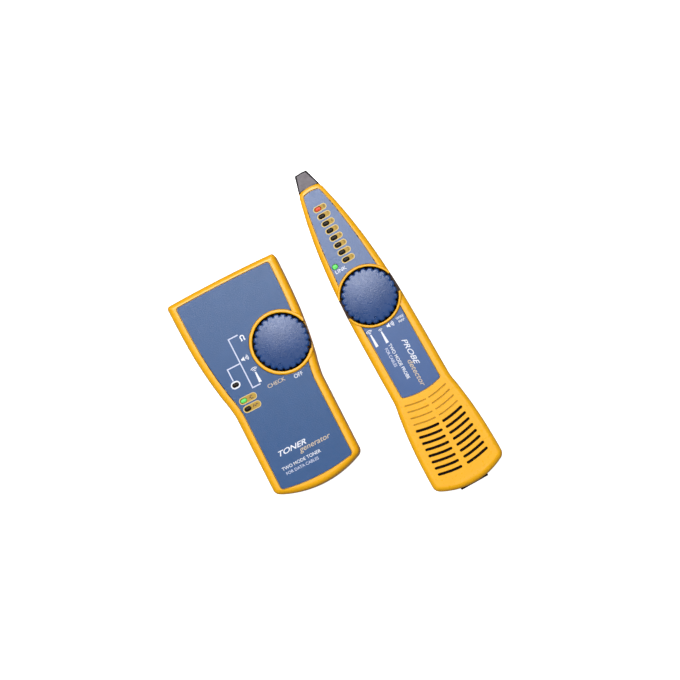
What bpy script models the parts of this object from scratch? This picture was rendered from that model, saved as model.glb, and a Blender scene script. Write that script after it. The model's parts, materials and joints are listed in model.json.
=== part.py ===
"""Tone probe kit: a tone generator and a tapered tone probe, lying on their backs side by side.

The drawing unit is the millimetre, scaled to metres as each mesh is made. Each instrument is drawn in its own
frame: x across, y along it towards its head, z up from the flat back. The table is z = 0.
"""

import math

import bmesh
import bpy
from mathutils import Matrix

MM = 0.001
GAP = 0.3                        # clearance between neighbouring pieces
WALL = 2.2                       # moulded wall
PARTING = 14.0                   # height of the joint between front and back case
RIM_ROUND = 3.4                  # rounding of the outer edges
RIM_STEPS = 2
BACK_ROUND = 3.0
ROUND_SIDES = 40                 # facets of the knob wells and of the label cut round them
SMALL_SIDES = 10                 # facets of bosses, pillars and screws
SCREW_HEAD = 2.5
SCREW_SEAT = 3.2                 # height of the screw seats above the back

TONER_AT = (-35.2, 8.4)          # where each instrument's own origin lies on the table
PROBE_AT = (44.6, -2.5)
PROBE_TURN = 2.3                 # degrees, anticlockwise

LABEL_DEPTH = 1.0                # recess under the face labels
LABEL_SUNK = 0.3                 # label surface below the rim
LABEL_THICK = 0.4
LENS = (4.0, 2.3)                # length and width of an indicator lens, and of its window
WINDOW = (4.6, 2.9)
SYNC_LENS = (3.6, 3.0)
SYNC_WINDOW = (4.2, 3.6)
BOARD_THICK = 1.6
POST_RADIUS = 2.5                # posts under the toner's board; the probe's are a little slimmer
PILLAR_RADIUS = 3.3
BOSS_RADIUS = 3.0
SHANK_HOLE = 1.35
PILOT_HOLE = 1.3
CEILING_DEPTH = 2.8              # underside of the face wall, below the rim

KNOB_RADIUS = 17.5
KNOB_FLUTES = 24
FLUTE_DEPTH = 0.95
KNOB_RISE = 2.5                  # top of the knob's dome above the rim
KNOB_UNDERSIDE = 8.0             # underside of the knob below the rim
WELL_RADIUS = 18.3
WELL_FLOOR = 8.6                 # floor of the knob's well, below the rim
BEZEL_RISE = 1.3
SHAFT_RADIUS = 3.0
POINTER_RADIUS = 14.1

TONER_FACE = 28.5                # height of the toner's rim
TONER_KNOB = (17.0, 14.1)
TONER_POINTER = -121.0           # degrees, where the knob points at rest
TONER_BOARD = 9.6                # underside of the circuit board
TONER_BOARD_X = (-25.0, 30.0)
TONER_BOARD_Y = (-17.5, 64.0)
TONER_BOARD_POSTS = ((-20, 44), (20, 44), (-20, -10), (20, -10))
TONER_DOOR = (14.5, -18.6, 11.0)         # half-width, upper end and height of its upturned end
TONER_HEAD = 67.0                # y of the end that holds the jacks
TONER_BEZEL = 20.4               # outer radius of the raised ring round the knob
TONER_WIDTH = ((-76, 29.8), (-16, 29.8), (-8, 30.75), (0, 32.45), (16, 35.0), (32, 36.6), (48, 37.25), (67, 37.5))
TONER_BORDER = 5.2
TONER_LEDS = ((-20.7, 3.3), (-20.7, -7.7), (-20.6, -13.4))
TONER_SCREWS = ((-30, 56), (30, 56), (-23.2, -64), (23.2, -64))
TONER_THUMB_NOTCH = (30.2, 2.2, 19.8)    # x, and the two ends in y

PROBE_FACE = 29.5
PROBE_KNOB = (0.0, 25.5)
PROBE_POINTER = -103.0
PROBE_BOARD = 14.5
PROBE_BOARD_POSTS = ((-10, 8), (10, 8), (-10, -26), (10, -26))
PROBE_BEZEL = 19.9
PROBE_DOOR = (14.3, -34.6, 5.4)
PROBE_WIDTH = ((-108, 24.4), (-95, 24.4), (-80, 24.05), (-65, 23.0), (-50, 21.1), (-40, 19.6), (-10, 19.4),
               (20, 18.95), (40, 17.75), (60, 15.75), (80, 12.6), (95, 9.35), (105, 6.85))
UPPER_LABEL_WIDTH = ((30, 14.7), (41.3, 13.4), (55, 12.3), (65, 11.3), (75, 9.95), (85, 8.4), (95, 6.45),
                     (100.3, 5.3))
LOWER_LABEL_WIDTH = ((-45, 13.5), (20, 13.5))
PROBE_LED_TOP = 88.5
PROBE_LED_PITCH = 5.14
PROBE_LED_X = -1.4
PROBE_SYNC = (-9.8, 51.8)
PROBE_SIGNALS = 8
PROBE_SCREWS = ((-10.0, 56), (10.0, 56), (-18.3, -96.8), (18.3, -96.8))
PROBE_THUMB_NOTCH = 16.9         # beyond this x the bezel and the side walls are cut away
PROBE_NOTCH_HALF = 6.4
TAPER_FROM = 30.0                # the underside rises from here to the tip
TAPER_TO = 113.7
TAPER_LEFT = 0.36                # depth left at the tip, as a fraction
TAPER_POWER = 1.4

HEAD_ARCH = 14.4                 # radius of the probe case's head, which the tip fits round
HEAD_Y = 104.0
TIP_ROOT = 7.2                   # half-widths of the tip
TIP_END = 4.15
PICKUP_Z = 22.7
PICKUP_RADIUS = 1.6

GRILLE_SLOTS = 8
GRILLE_SLOT_Y = -64.7
GRILLE_GROOVES = 4
GRILLE_GROOVE_Y = -47.5
GRILLE_PITCH = 4.29
GRILLE_RISE = 2.2
SPEAKER_AT = (0.0, -80.5)
SPEAKER_RADIUS = 17.5

BATTERY = (26.5, 46.0, 17.5)     # body of the standard block battery, without its studs
BATTERY_Z = 2.7
TONER_BATTERY_Y = -70.8          # lower end of each battery
PROBE_BATTERY_Y = -86.6
STUD_RADII = (4.0, 2.9)
STUD_OFFSET = 6.35
STUD_HEIGHT = 2.5

LAN_JACK = (16.0, 16.0, 13.4)    # width, depth, height
LAN_SOCKET = (11.8, 13.5, 8.2)
PHONE_JACK = (13.2, 14.0, 12.0)
PHONE_SOCKET = (9.8, 11.5, 6.8)
TONER_LAN_X = -13.0
TONER_PHONE_X = 9.0
JACK_SUNK = 0.6                  # jack face below the case's end
PROBE_JACK_Z = 8.4
PROBE_JACK_OUT = -107.6          # the dark shroud stands proud of the butt

YELLOW = ((0.85, 0.36, 0.025), 0.42, 0.0)
BLUE = ((0.14, 0.22, 0.42), 0.45, 0.0)
PALE_BLUE = ((0.26, 0.34, 0.55), 0.45, 0.0)
KNOB_BLUE = ((0.13, 0.20, 0.42), 0.40, 0.0)
GREY = ((0.19, 0.17, 0.18), 0.45, 0.0)
BLACK = ((0.02, 0.02, 0.02), 0.5, 0.0)
WHITE = ((0.75, 0.75, 0.72), 0.5, 0.0)
BOARD_GREEN = ((0.02, 0.16, 0.06), 0.45, 0.0)
STEEL = ((0.55, 0.55, 0.56), 0.32, 1.0)
BRASS = ((0.72, 0.52, 0.22), 0.35, 1.0)
SMOKE = ((0.03, 0.02, 0.015), 0.15, 0.0)
RED_LENS = ((0.75, 0.05, 0.02), 0.15, 0.0)
GREEN_LENS = ((0.10, 0.75, 0.20), 0.15, 0.0)
PAPER = ((0.10, 0.10, 0.10), 0.9, 0.0)


# --- Mesh helpers -----------------------------------------------------------------------------------------

def curve_through(knots, y):
    """Smooth curve through (position, value) knots that never overshoots them."""
    if y <= knots[0][0]:
        return knots[0][1]
    if y >= knots[-1][0]:
        return knots[-1][1]
    slopes = [(b[1] - a[1]) / (b[0] - a[0]) for a, b in zip(knots, knots[1:])]
    tangents = [slopes[0]]
    for before, after in zip(slopes, slopes[1:]):
        same_way = before * after > 0
        tangents.append(2 * before * after / (before + after) if same_way else 0.0)
    tangents.append(slopes[-1])
    index = max(i for i, knot in enumerate(knots[:-1]) if knot[0] <= y)
    (y0, v0), (y1, v1) = knots[index], knots[index + 1]
    span = y1 - y0
    t = (y - y0) / span
    start = (1 + 2 * t) * (1 - t) ** 2 * v0 + t * (1 - t) ** 2 * span * tangents[index]
    end = t * t * (3 - 2 * t) * v1 + t * t * (t - 1) * span * tangents[index + 1]
    return start + end


def arc(centre, radius, start, end, steps):
    """Points along an arc, both ends included; angles in degrees."""
    points = []
    for i in range(steps + 1):
        angle = math.radians(start + (end - start) * i / steps)
        points.append((centre[0] + radius * math.cos(angle), centre[1] + radius * math.sin(angle)))
    return points


def stadium(at, length, width, turn=0.0, steps=3):
    """Outline of a slot with round ends."""
    reach = (length - width) / 2
    ends = arc((reach, 0), width / 2, -90, 90, steps) + arc((-reach, 0), width / 2, 90, 270, steps)
    cos, sin = math.cos(math.radians(turn)), math.sin(math.radians(turn))
    return [(at[0] + x * cos - y * sin, at[1] + x * sin + y * cos) for x, y in ends]


class Shape:
    """Closed solids gathered into one mesh, in millimetres in an instrument's own frame."""

    def __init__(self):
        self.bm = bmesh.new()

    def box(self, low, high):
        centre = [(a + b) / 2 for a, b in zip(low, high)]
        size = [b - a for a, b in zip(low, high)]
        frame = Matrix.Translation(centre) @ Matrix.Diagonal((*size, 1))
        bmesh.ops.create_cube(self.bm, size=1, matrix=frame)
        return self

    def rod(self, at, radius, z0, z1, sides=16):
        frame = Matrix.Translation((at[0], at[1], (z0 + z1) / 2))
        self.cone(frame, radius, radius, z1 - z0, sides)
        return self

    def rod_along_y(self, x, z, radius, y0, y1, sides=16):
        frame = Matrix.Translation((x, (y0 + y1) / 2, z)) @ Matrix.Rotation(math.radians(90), 4, "X")
        self.cone(frame, radius, radius, y1 - y0, sides)
        return self

    def cone(self, frame, radius1, radius2, depth, sides):
        bmesh.ops.create_cone(self.bm, cap_ends=True, segments=sides, radius1=radius1, radius2=radius2,
                              depth=depth, matrix=frame)

    def loft(self, loops, strips=False):
        """Skin over loops of points. Strips caps the ends across, for loops from an Outline."""
        rings = [[self.bm.verts.new(point) for point in loop] for loop in loops]
        count = len(rings[0])
        for low, high in zip(rings, rings[1:]):
            for i in range(count):
                j = (i + 1) % count
                self.bm.faces.new((low[i], low[j], high[j], high[i]))
        for ring in (rings[0], rings[-1]):
            if strips:
                self.bm.faces.new((ring[0], ring[1], ring[-1]))
                for i in range(1, count // 2 - 1):
                    self.bm.faces.new((ring[i], ring[i + 1], ring[-i - 1], ring[-i]))
                middle = count // 2
                self.bm.faces.new((ring[middle - 1], ring[middle], ring[middle + 1]))
            else:
                self.bm.faces.new(ring)
        return self

    def prism(self, outline, z0, z1):
        return self.loft([[(x, y, z) for x, y in outline] for z in (z0, z1)])

    def stepped(self, at, steps, sides=SMALL_SIDES):
        """A rod whose radius changes with height: steps are (radius, z) pairs, bottom to top."""
        circle = arc((0, 0), 1.0, 0, 360 - 360 / sides, sides - 1)
        return self.loft([[(at[0] + r * x, at[1] + r * y, z) for x, y in circle] for r, z in steps])

    def mesh(self, name, warp=None):
        if warp:
            for vert in self.bm.verts:
                vert.co.z = warp(vert.co.y, vert.co.z)
        bmesh.ops.recalc_face_normals(self.bm, faces=self.bm.faces)
        bmesh.ops.scale(self.bm, vec=(MM, MM, MM), verts=self.bm.verts)
        mesh = bpy.data.meshes.new(name)
        self.bm.to_mesh(mesh)
        self.bm.free()
        return mesh


class Outline:
    """Plan shape with arched ends, rounded corners and curved sides."""

    def __init__(self, width, foot, head, rows, border=0.0):
        self.width = width
        self.foot = foot                 # (y, arch radius, corner radius)
        self.head = head
        self.border = border
        y0, y1 = self.end_points(foot, 0, -1)[-1][1], self.end_points(head, 0, 1)[-1][1]
        knots = [y for y, _ in width]
        levels = [a + (b - a) * i / rows for a, b in zip(knots, knots[1:]) for i in range(rows)] + knots[-1:]
        self.shares = [(y - y0) / (y1 - y0) for y in levels if y0 + 1 < y < y1 - 1]

    def end_points(self, end, inset, way):
        """Centre point of one end, then its arch and its corner; way is +1 at the head."""
        y, arch, corner = end[0] - way * inset, end[1] - inset, max(end[2] - inset, 0.4)
        side = curve_through(self.width, end[0] - way * end[2]) - self.border - inset
        lean = math.asin((side - corner) / (arch - corner))
        steps = 3
        points = []
        for i in range(steps + 1):
            angle = lean * i / steps
            points.append((arch * math.sin(angle), y - way * arch * (1 - math.cos(angle))))
        centre = ((arch - corner) * math.sin(lean), y - way * (arch - (arch - corner) * math.cos(lean)))
        for i in range(1, steps + 1):
            angle = lean + (math.pi / 2 - lean) * i / steps
            points.append((centre[0] + corner * math.sin(angle), centre[1] + way * corner * math.cos(angle)))
        return points

    def loop(self, inset, z):
        low = self.end_points(self.foot, inset, -1)
        high = self.end_points(self.head, inset, 1)
        y0, y1 = low[-1][1], high[-1][1]
        levels = [y0 + (y1 - y0) * share for share in self.shares]
        side = [(curve_through(self.width, y) - self.border - inset, y) for y in levels]
        right = low + side + high[::-1]
        left = [(-x, y) for x, y in right[-2:0:-1]]
        return [(x, y, z) for x, y in right + left]

    def prism(self, z0, z1, inset=0.0):
        return Shape().loft([self.loop(inset, z0), self.loop(inset, z1)], strips=True)


def place(name, mesh, home, parent, at=(0, 0, 0)):
    item = bpy.data.objects.new(name, mesh)
    home.objects.link(item)
    item.parent = parent
    item.location = [value * MM for value in at]
    return item


def piece(name, mesh, finish, parent, at=(0, 0, 0)):
    """A sub-part with its own material."""
    colour, roughness, metallic = finish
    item = place(name, mesh, PARTS, parent, at)
    material = bpy.data.materials.new(name)
    material.use_nodes = True
    shader = material.node_tree.nodes["Principled BSDF"]
    shader.inputs["Base Color"].default_value = (*colour, 1)
    shader.inputs["Roughness"].default_value = roughness
    shader.inputs["Metallic"].default_value = metallic
    material.diffuse_color = (*colour, 1)
    mesh.materials.clear()
    mesh.materials.append(material)
    return item


def tool(name, mesh, parent, at=(0, 0, 0)):
    """A hidden body that cuts or joins a piece."""
    item = place(name, mesh, CUTTERS, parent, at)
    item.hide_render = True
    item.display_type = "WIRE"
    return item


def combine(target, other, operation="DIFFERENCE"):
    modifier = target.modifiers.new(other.name, "BOOLEAN")
    modifier.operation = operation
    modifier.solver = "EXACT"
    modifier.object = other


def turned_mesh(name, profile, closed=True):
    """Profile of (radius, z) points, in order down its outer side; open where it starts and ends on the axis."""
    mesh = bpy.data.meshes.new(name)
    count = len(profile)
    edges = [(i, (i + 1) % count) for i in range(count if closed else count - 1)]
    mesh.from_pydata([(r * MM, 0, z * MM) for r, z in profile], edges, [])
    return mesh


def turn(item, steps):
    """Revolves a profile about the item's own z axis."""
    modifier = item.modifiers.new("turned", "SCREW")
    modifier.steps = steps
    modifier.render_steps = steps
    modifier.use_merge_vertices = True
    modifier.merge_threshold = 0.00001
    return item


def smooth(item, angle=35):
    item.data.shade_smooth()
    item.data.set_sharp_from_angle(angle=math.radians(angle))
    return item


def round_edges(item, width, segments=2):
    modifier = item.modifiers.new("rounded", "BEVEL")
    modifier.width = width * MM
    modifier.segments = segments
    modifier.limit_method = "ANGLE"
    modifier.angle_limit = math.radians(50)
    return item


# --- Shapes shared by the two instruments -------------------------------------------------------------------

def taper(y, z):
    """The probe gets thinner towards its tip while its face stays flat."""
    share = min(max((y - TAPER_FROM) / (TAPER_TO - TAPER_FROM), 0), 1)
    depth = 1 - (1 - TAPER_LEFT) * share ** TAPER_POWER
    return PROBE_FACE - (PROBE_FACE - z) * depth


def front_shell(outline, face):
    """Open-backed moulding: cavity ceiling, cavity walls, parting rim, side walls, rounded edge, face."""
    ceiling = face - CEILING_DEPTH
    loops = [outline.loop(WALL, ceiling), outline.loop(WALL, PARTING), outline.loop(0, PARTING)]
    for i in range(RIM_STEPS + 1):
        angle = math.pi / 2 * i / RIM_STEPS
        inset = RIM_ROUND * (1 - math.cos(angle))
        loops.append(outline.loop(inset, face - RIM_ROUND * (1 - math.sin(angle))))
    return Shape().loft(loops, strips=True)


def back_shell(outline):
    """Open-fronted moulding with a flat back."""
    top = PARTING - GAP
    loops = [outline.loop(WALL, WALL), outline.loop(WALL, top), outline.loop(0, top)]
    for i in range(RIM_STEPS + 1):
        angle = math.pi / 2 * i / RIM_STEPS
        loops.append(outline.loop(BACK_ROUND * (1 - math.cos(angle)), BACK_ROUND * (1 - math.sin(angle))))
    return Shape().loft(loops, strips=True)


def knob_well(name, parent, at, face, bezel):
    """Cup that the knob turns in, with the rounded bezel round its mouth."""
    floor = face - WELL_FLOOR
    top = face + BEZEL_RISE
    hole = SHAFT_RADIUS + 0.4
    profile = [(WELL_RADIUS + 0.5, top), (bezel - 0.6, top), (bezel, top - 0.9), (bezel, floor - 2),
               (hole, floor - 2), (hole, floor), (WELL_RADIUS, floor), (WELL_RADIUS, top - 0.8)]
    return turn(tool(name, turned_mesh(name, profile), parent, (*at, 0)), ROUND_SIDES)


def knob_loop(radius, z, depth):
    """One level of the fluted rim: wide lobes with narrow notches between them."""
    points = []
    pitch = 360 / KNOB_FLUTES
    for flute in range(KNOB_FLUTES):
        for share, cut in ((-0.34, 0), (0.34, 0), (0.5, depth)):
            angle = math.radians((flute + share) * pitch)
            reach = radius - cut
            points.append((reach * math.cos(angle), reach * math.sin(angle), z))
    return points


def knob(name, unit, at, face, shaft_end, pointer):
    """Fluted cap with a shallow dome and a shaft, standing on its own axis."""
    axis = bpy.data.objects.new(name + "_axis", None)
    CUTTERS.objects.link(axis)
    axis.parent = unit
    axis.location = (at[0] * MM, at[1] * MM, 0)
    top = face + KNOB_RISE
    levels = ((KNOB_RADIUS, face - KNOB_UNDERSIDE, FLUTE_DEPTH), (KNOB_RADIUS, top - 1.5, FLUTE_DEPTH),
              (KNOB_RADIUS - 1.0, top - 0.7, 0.3), (8.0, top, 0.0))
    cap = piece(name, Shape().loft([knob_loop(r, z, d) for r, z, d in levels]).mesh(name), KNOB_BLUE, axis)
    shaft = Shape().rod((0, 0), SHAFT_RADIUS, shaft_end, face - KNOB_UNDERSIDE + 1)
    combine(cap, tool(name + "_shaft", shaft.mesh(name + "_shaft"), axis), "UNION")
    angle = math.radians(pointer)
    spot = (POINTER_RADIUS * math.cos(angle), POINTER_RADIUS * math.sin(angle))
    mark = Shape().rod(spot, 0.7, top - 1.2, top + 1, sides=12)
    combine(cap, tool(name + "_pointer", mark.mesh(name + "_pointer"), axis))
    smooth(cap)
    return axis


def knob_rotor(name, axis, z0, z1):
    """Contact carrier pushed on the shaft's lower end."""
    bore = SHAFT_RADIUS + GAP
    profile = [(4.6, z1 + 0.4), (4.6, z1), (9.0, z1), (9.0, z0), (bore, z0), (bore, z1 + 0.4)]
    smooth(turn(piece(name, turned_mesh(name, profile), WHITE, axis), 20))


def detent_spring(name, unit, at, z0):
    """Open leaf ring round the rotor, with one inward click nose."""
    outer = arc(at, 13.0, 30, 330, 14)
    inner = arc(at, 11.6, 330, 188, 6) + arc(at, 10.2, 184, 176, 1) + arc(at, 11.6, 172, 30, 6)
    piece(name, Shape().prism(outer + inner, z0, z0 + 1.2).mesh(name), STEEL, unit)


def lens(name, unit, at, face, finish, size=LENS):
    """Indicator lens standing in its window, a little below the rim."""
    top = face - LABEL_SUNK + 0.2
    piece(name, Shape().prism(stadium(at, *size), top - 4, top).mesh(name), finish, unit)


def battery(name, unit, end):
    """Block battery lying along y, with its two studs at the upper end."""
    width, length, height = BATTERY
    middle = BATTERY_Z + height / 2
    shell = Shape().box((-width / 2, end, BATTERY_Z), (width / 2, end + length, BATTERY_Z + height))
    item = piece(name, shell.mesh(name), STEEL, unit)
    round_edges(item, 1.6)
    studs = Shape()
    for side, radius in zip((-1, 1), STUD_RADII):
        studs.rod_along_y(side * STUD_OFFSET, middle, radius, end + length - 0.8, end + length + STUD_HEIGHT, 12)
    combine(item, tool(name + "_studs", studs.mesh(name + "_studs"), unit), "UNION")


def battery_snap(name, unit, end):
    """Clip with two wells that the studs press into."""
    near = end + BATTERY[1] + GAP
    middle = BATTERY_Z + BATTERY[2] / 2
    item = piece(name, Shape().box((-12.5, near, middle - 6), (12.5, near + 4, middle + 6)).mesh(name), BLACK, unit)
    round_edges(item, 0.8, 1)
    wells = Shape()
    for side, radius in zip((-1, 1), STUD_RADII):
        wells.rod_along_y(side * STUD_OFFSET, middle, radius + GAP, near - 1, near + STUD_HEIGHT + GAP, 12)
    combine(item, tool(name + "_wells", wells.mesh(name + "_wells"), unit))


def battery_door(name, unit, shell_mesh, extent):
    """Sliding cover cut from the back moulding: a flat plate with an upturned end."""
    half_width, upper_end, top = extent
    item = piece(name, shell_mesh, YELLOW, unit)
    room = Shape().box((-half_width, -130, GAP), (half_width, upper_end, top))
    combine(item, tool(name + "_room", room.mesh(name + "_room"), unit), "INTERSECT")


def jack(name, unit, x, opening_y, z, size, socket, way, flange=0.0):
    """Modular jack housing; way is the direction its socket faces along y, flange a wider dark shroud."""
    width, depth, height = size
    ends = sorted((opening_y, opening_y - way * depth))
    item = piece(name, Shape().box((x - width / 2, ends[0], z), (x + width / 2, ends[1], z + height)).mesh(name),
                 BLACK, unit)
    if flange:
        lip = sorted((opening_y, opening_y - way * 2.2))
        brim = Shape().box((x - width / 2 - flange, lip[0], z - flange), (x + width / 2 + flange, lip[1],
                                                                      z + height + flange))
        combine(item, tool(name + "_brim", brim.mesh(name + "_brim"), unit), "UNION")
    mouth = sorted((opening_y + way, opening_y - way * socket[1]))
    low = z + (height - socket[2]) / 2
    notch = 6.0
    hollow = Shape().loft([[(x + px, y, low + pz) for px, pz in (
        (-socket[0] / 2, 0), (-socket[0] / 2, socket[2] - 1.8), (-notch / 2, socket[2] - 1.8),
        (-notch / 2, socket[2]), (notch / 2, socket[2]), (notch / 2, socket[2] - 1.8),
        (socket[0] / 2, socket[2] - 1.8), (socket[0] / 2, 0))] for y in mouth])
    combine(item, tool(name + "_socket", hollow.mesh(name + "_socket"), unit))


def case_screws(unit, prefix, places, warp):
    """Pan-head screws driven in from the back, each standing on its own axis with its seat at z = 0."""
    profile = [(0, 14), (1.0, 13.2), (1.0, 0), (SCREW_HEAD, 0), (SCREW_HEAD, -1.3), (SCREW_HEAD - 0.5, -1.8),
               (0, -1.8)]
    for index, at in enumerate(places, 1):
        name = f"{prefix}_case_screw_{index}"
        item = piece(name, turned_mesh(name, profile, closed=False), STEEL, unit, (*at, warp(at[1], SCREW_SEAT)))
        smooth(turn(item, SMALL_SIDES))


def screw_pillars(places, warp):
    """Pillars of the back moulding that the screws pass through."""
    pillars = Shape()
    for at in places:
        pillars.rod(at, PILLAR_RADIUS, warp(at[1], WALL) - 0.6, warp(at[1], PARTING - GAP) - 0.2, SMALL_SIDES)
    return pillars


def screw_passages(shape, places, warp):
    for at in places:
        seat = warp(at[1], SCREW_SEAT)
        top = warp(at[1], PARTING) + 2
        head = SCREW_HEAD + GAP
        shape.stepped(at, ((head, -2), (head, seat), (SHANK_HOLE, seat + 0.01), (SHANK_HOLE, top)))


def screw_bosses(places, face, warp):
    """Bosses of the front moulding that the screws bite into."""
    bosses = Shape()
    for at in places:
        top = warp(at[1], face - CEILING_DEPTH) + 0.5
        bosses.rod(at, BOSS_RADIUS, warp(at[1], PARTING) + 0.2, top, SMALL_SIDES)
    return bosses


def screw_pilots(shape, places, warp):
    for at in places:
        shape.rod(at, PILOT_HOLE, warp(at[1], PARTING) - 2, warp(at[1], SCREW_SEAT) + 14.5, SMALL_SIDES)


def level(_y, z):
    return z


def unit_frame(name, at, degrees):
    empty = bpy.data.objects.new(name, None)
    CUTTERS.objects.link(empty)
    empty.location = (at[0] * MM, at[1] * MM, 0)
    empty.rotation_euler = (0, 0, math.radians(degrees))
    return empty


# --- Toner --------------------------------------------------------------------------------------------------

def toner():
    unit = unit_frame("toner", TONER_AT, 0)
    outline = Outline(TONER_WIDTH, foot=(-75.7, 66, 4.7), head=(TONER_HEAD, 900, 2.1), rows=2)
    label = Outline(TONER_WIDTH, foot=(-70.2, 120, 1.8), head=(63.2, 900, 1.8), rows=2, border=TONER_BORDER)
    toner_front(unit, outline, label)
    toner_back(unit, outline)
    toner_label(unit, label)
    toner_inside(unit)
    for name, at, finish in zip(("upper", "middle", "lower"), TONER_LEDS, (SMOKE, GREEN_LENS, SMOKE)):
        lens(f"toner_{name}_lens", unit, at, TONER_FACE, finish)
    case_screws(unit, "toner", TONER_SCREWS, level)


def toner_front(unit, outline, label):
    front = piece("toner_front_case", front_shell(outline, TONER_FACE).mesh("toner_front_case"), YELLOW, unit)
    recess = label.prism(TONER_FACE - LABEL_DEPTH, TONER_FACE + 4, inset=-GAP)
    combine(front, tool("toner_label_recess", recess.mesh("toner_label_recess"), unit))
    clear = Shape().rod(TONER_KNOB, (WELL_RADIUS + TONER_BEZEL) / 2, TONER_FACE - WELL_FLOOR - 1, 50,
                        sides=ROUND_SIDES)
    combine(front, tool("toner_well_room", clear.mesh("toner_well_room"), unit))
    well = knob_well("toner_well", unit, TONER_KNOB, TONER_FACE, TONER_BEZEL)
    combine(well, tool("toner_well_limit", outline.prism(5, 50, inset=0.05).mesh("toner_well_limit"), unit),
            "INTERSECT")
    combine(front, well, "UNION")
    bosses = screw_bosses(TONER_SCREWS, TONER_FACE, level)
    combine(front, tool("toner_bosses", bosses.mesh("toner_bosses"), unit), "UNION")
    openings = Shape()
    x, y0, y1 = TONER_THUMB_NOTCH
    openings.box((x, y0, TONER_FACE - WELL_FLOOR), (45, y1, 50))
    for at in TONER_LEDS:
        openings.prism(stadium(at, *WINDOW), TONER_FACE - 5, TONER_FACE + 4)
    toner_jack_windows(openings)
    screw_pilots(openings, TONER_SCREWS, level)
    combine(front, tool("toner_front_openings", openings.mesh("toner_front_openings"), unit))


def toner_jack_windows(shape):
    """Openings in the head for the two jacks; they cross the parting line."""
    z = TONER_BOARD + BOARD_THICK + GAP
    for x, size in ((TONER_LAN_X, LAN_JACK), (TONER_PHONE_X, PHONE_JACK)):
        reach = size[0] / 2 + GAP
        shape.box((x - reach, 55, z - GAP), (x + reach, 75, z + size[2] + GAP))


def toner_back(unit, outline):
    back = piece("toner_back_case", back_shell(outline).mesh("toner_back_case"), YELLOW, unit)
    pillars = screw_pillars(TONER_SCREWS, level)
    for at in TONER_BOARD_POSTS:
        pillars.rod(at, POST_RADIUS, WALL - 0.6, TONER_BOARD - GAP, SMALL_SIDES)
    combine(back, tool("toner_pillars", pillars.mesh("toner_pillars"), unit), "UNION")
    half, end, height = TONER_DOOR
    openings = Shape().box((-half - 0.4, -90, -3), (half + 0.4, end + 0.4, height + GAP))
    screw_passages(openings, TONER_SCREWS, level)
    toner_jack_windows(openings)
    combine(back, tool("toner_back_openings", openings.mesh("toner_back_openings"), unit))
    battery_door("toner_battery_door", unit, back_shell(outline).mesh("toner_battery_door"), TONER_DOOR)


def toner_label(unit, label):
    top = TONER_FACE - LABEL_SUNK
    plate = piece("toner_face_label", label.prism(top - LABEL_THICK, top).mesh("toner_face_label"), BLUE, unit)
    ring = Shape().rod(TONER_KNOB, TONER_BEZEL + GAP, top - 2, top + 2, sides=ROUND_SIDES)
    combine(plate, tool("toner_label_ring", ring.mesh("toner_label_ring"), unit))
    windows = Shape()
    for at in TONER_LEDS:
        windows.prism(stadium(at, *WINDOW), top - 2, top + 2)
    combine(plate, tool("toner_label_windows", windows.mesh("toner_label_windows"), unit))


def toner_inside(unit):
    board_top = TONER_BOARD + BOARD_THICK
    axis = knob("toner_knob", unit, TONER_KNOB, TONER_FACE, board_top + 0.6, TONER_POINTER)
    knob_rotor("toner_knob_rotor", axis, board_top + 0.5, board_top + 2.5)
    detent_spring("toner_detent_spring", unit, TONER_KNOB, board_top + 0.5)
    (left, right), (foot, head) = TONER_BOARD_X, TONER_BOARD_Y
    board = Shape().box((left, foot, TONER_BOARD), (right, head, board_top))
    item = piece("toner_circuit_board", board.mesh("toner_circuit_board"), BOARD_GREEN, unit)
    low, high = TONER_BOARD - 1, board_top + 1
    trims = Shape().box((right - 8, head - 14.5, low), (right + 5, head + 1, high))
    trims.box((left - 1, head - 12.5, low), (left + 2, head + 1, high))
    trims.box((right - 4, foot - 0.5, low), (right + 5, foot + 26.5, high))
    combine(item, tool("toner_board_trims", trims.mesh("toner_board_trims"), unit))
    face_y = TONER_HEAD - JACK_SUNK
    z = board_top + GAP
    jack("toner_lan_jack", unit, TONER_LAN_X, face_y, z, LAN_JACK, LAN_SOCKET, 1)
    jack("toner_phone_jack", unit, TONER_PHONE_X, face_y, z, PHONE_JACK, PHONE_SOCKET, 1)
    battery("toner_battery", unit, TONER_BATTERY_Y)
    battery_snap("toner_battery_snap", unit, TONER_BATTERY_Y)


# --- Probe --------------------------------------------------------------------------------------------------

def probe():
    unit = unit_frame("probe", PROBE_AT, PROBE_TURN)
    outline = Outline(PROBE_WIDTH, foot=(-107.3, 46.5, 5.0), head=(HEAD_Y, HEAD_ARCH, 1.2), rows=1)
    upper = Outline(UPPER_LABEL_WIDTH, foot=(34, 90, 1), head=(100.3, 16, 1.2), rows=1)
    lower = Outline(LOWER_LABEL_WIDTH, foot=(-42, 44, 1.4), head=(17, 90, 1), rows=1)
    probe_front(unit, outline, upper, lower)
    probe_back(unit, outline)
    probe_label("probe_upper_label", unit, upper, probe_windows)
    probe_label("probe_lower_label", unit, lower, None)
    probe_tip(unit)
    probe_inside(unit)
    for index in range(PROBE_SIGNALS):
        at = (PROBE_LED_X, PROBE_LED_TOP - index * PROBE_LED_PITCH)
        finish = RED_LENS if index == 0 else SMOKE
        lens(f"probe_signal_lens_{PROBE_SIGNALS - index}", unit, at, PROBE_FACE, finish)
    lens("probe_sync_lens", unit, PROBE_SYNC, PROBE_FACE, GREEN_LENS, SYNC_LENS)
    case_screws(unit, "probe", PROBE_SCREWS, taper)


def probe_windows(shape, z0, z1):
    """Openings for the nine indicators."""
    for index in range(PROBE_SIGNALS):
        shape.prism(stadium((PROBE_LED_X, PROBE_LED_TOP - index * PROBE_LED_PITCH), *WINDOW), z0, z1)
    shape.prism(stadium(PROBE_SYNC, *SYNC_WINDOW), z0, z1)


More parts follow.
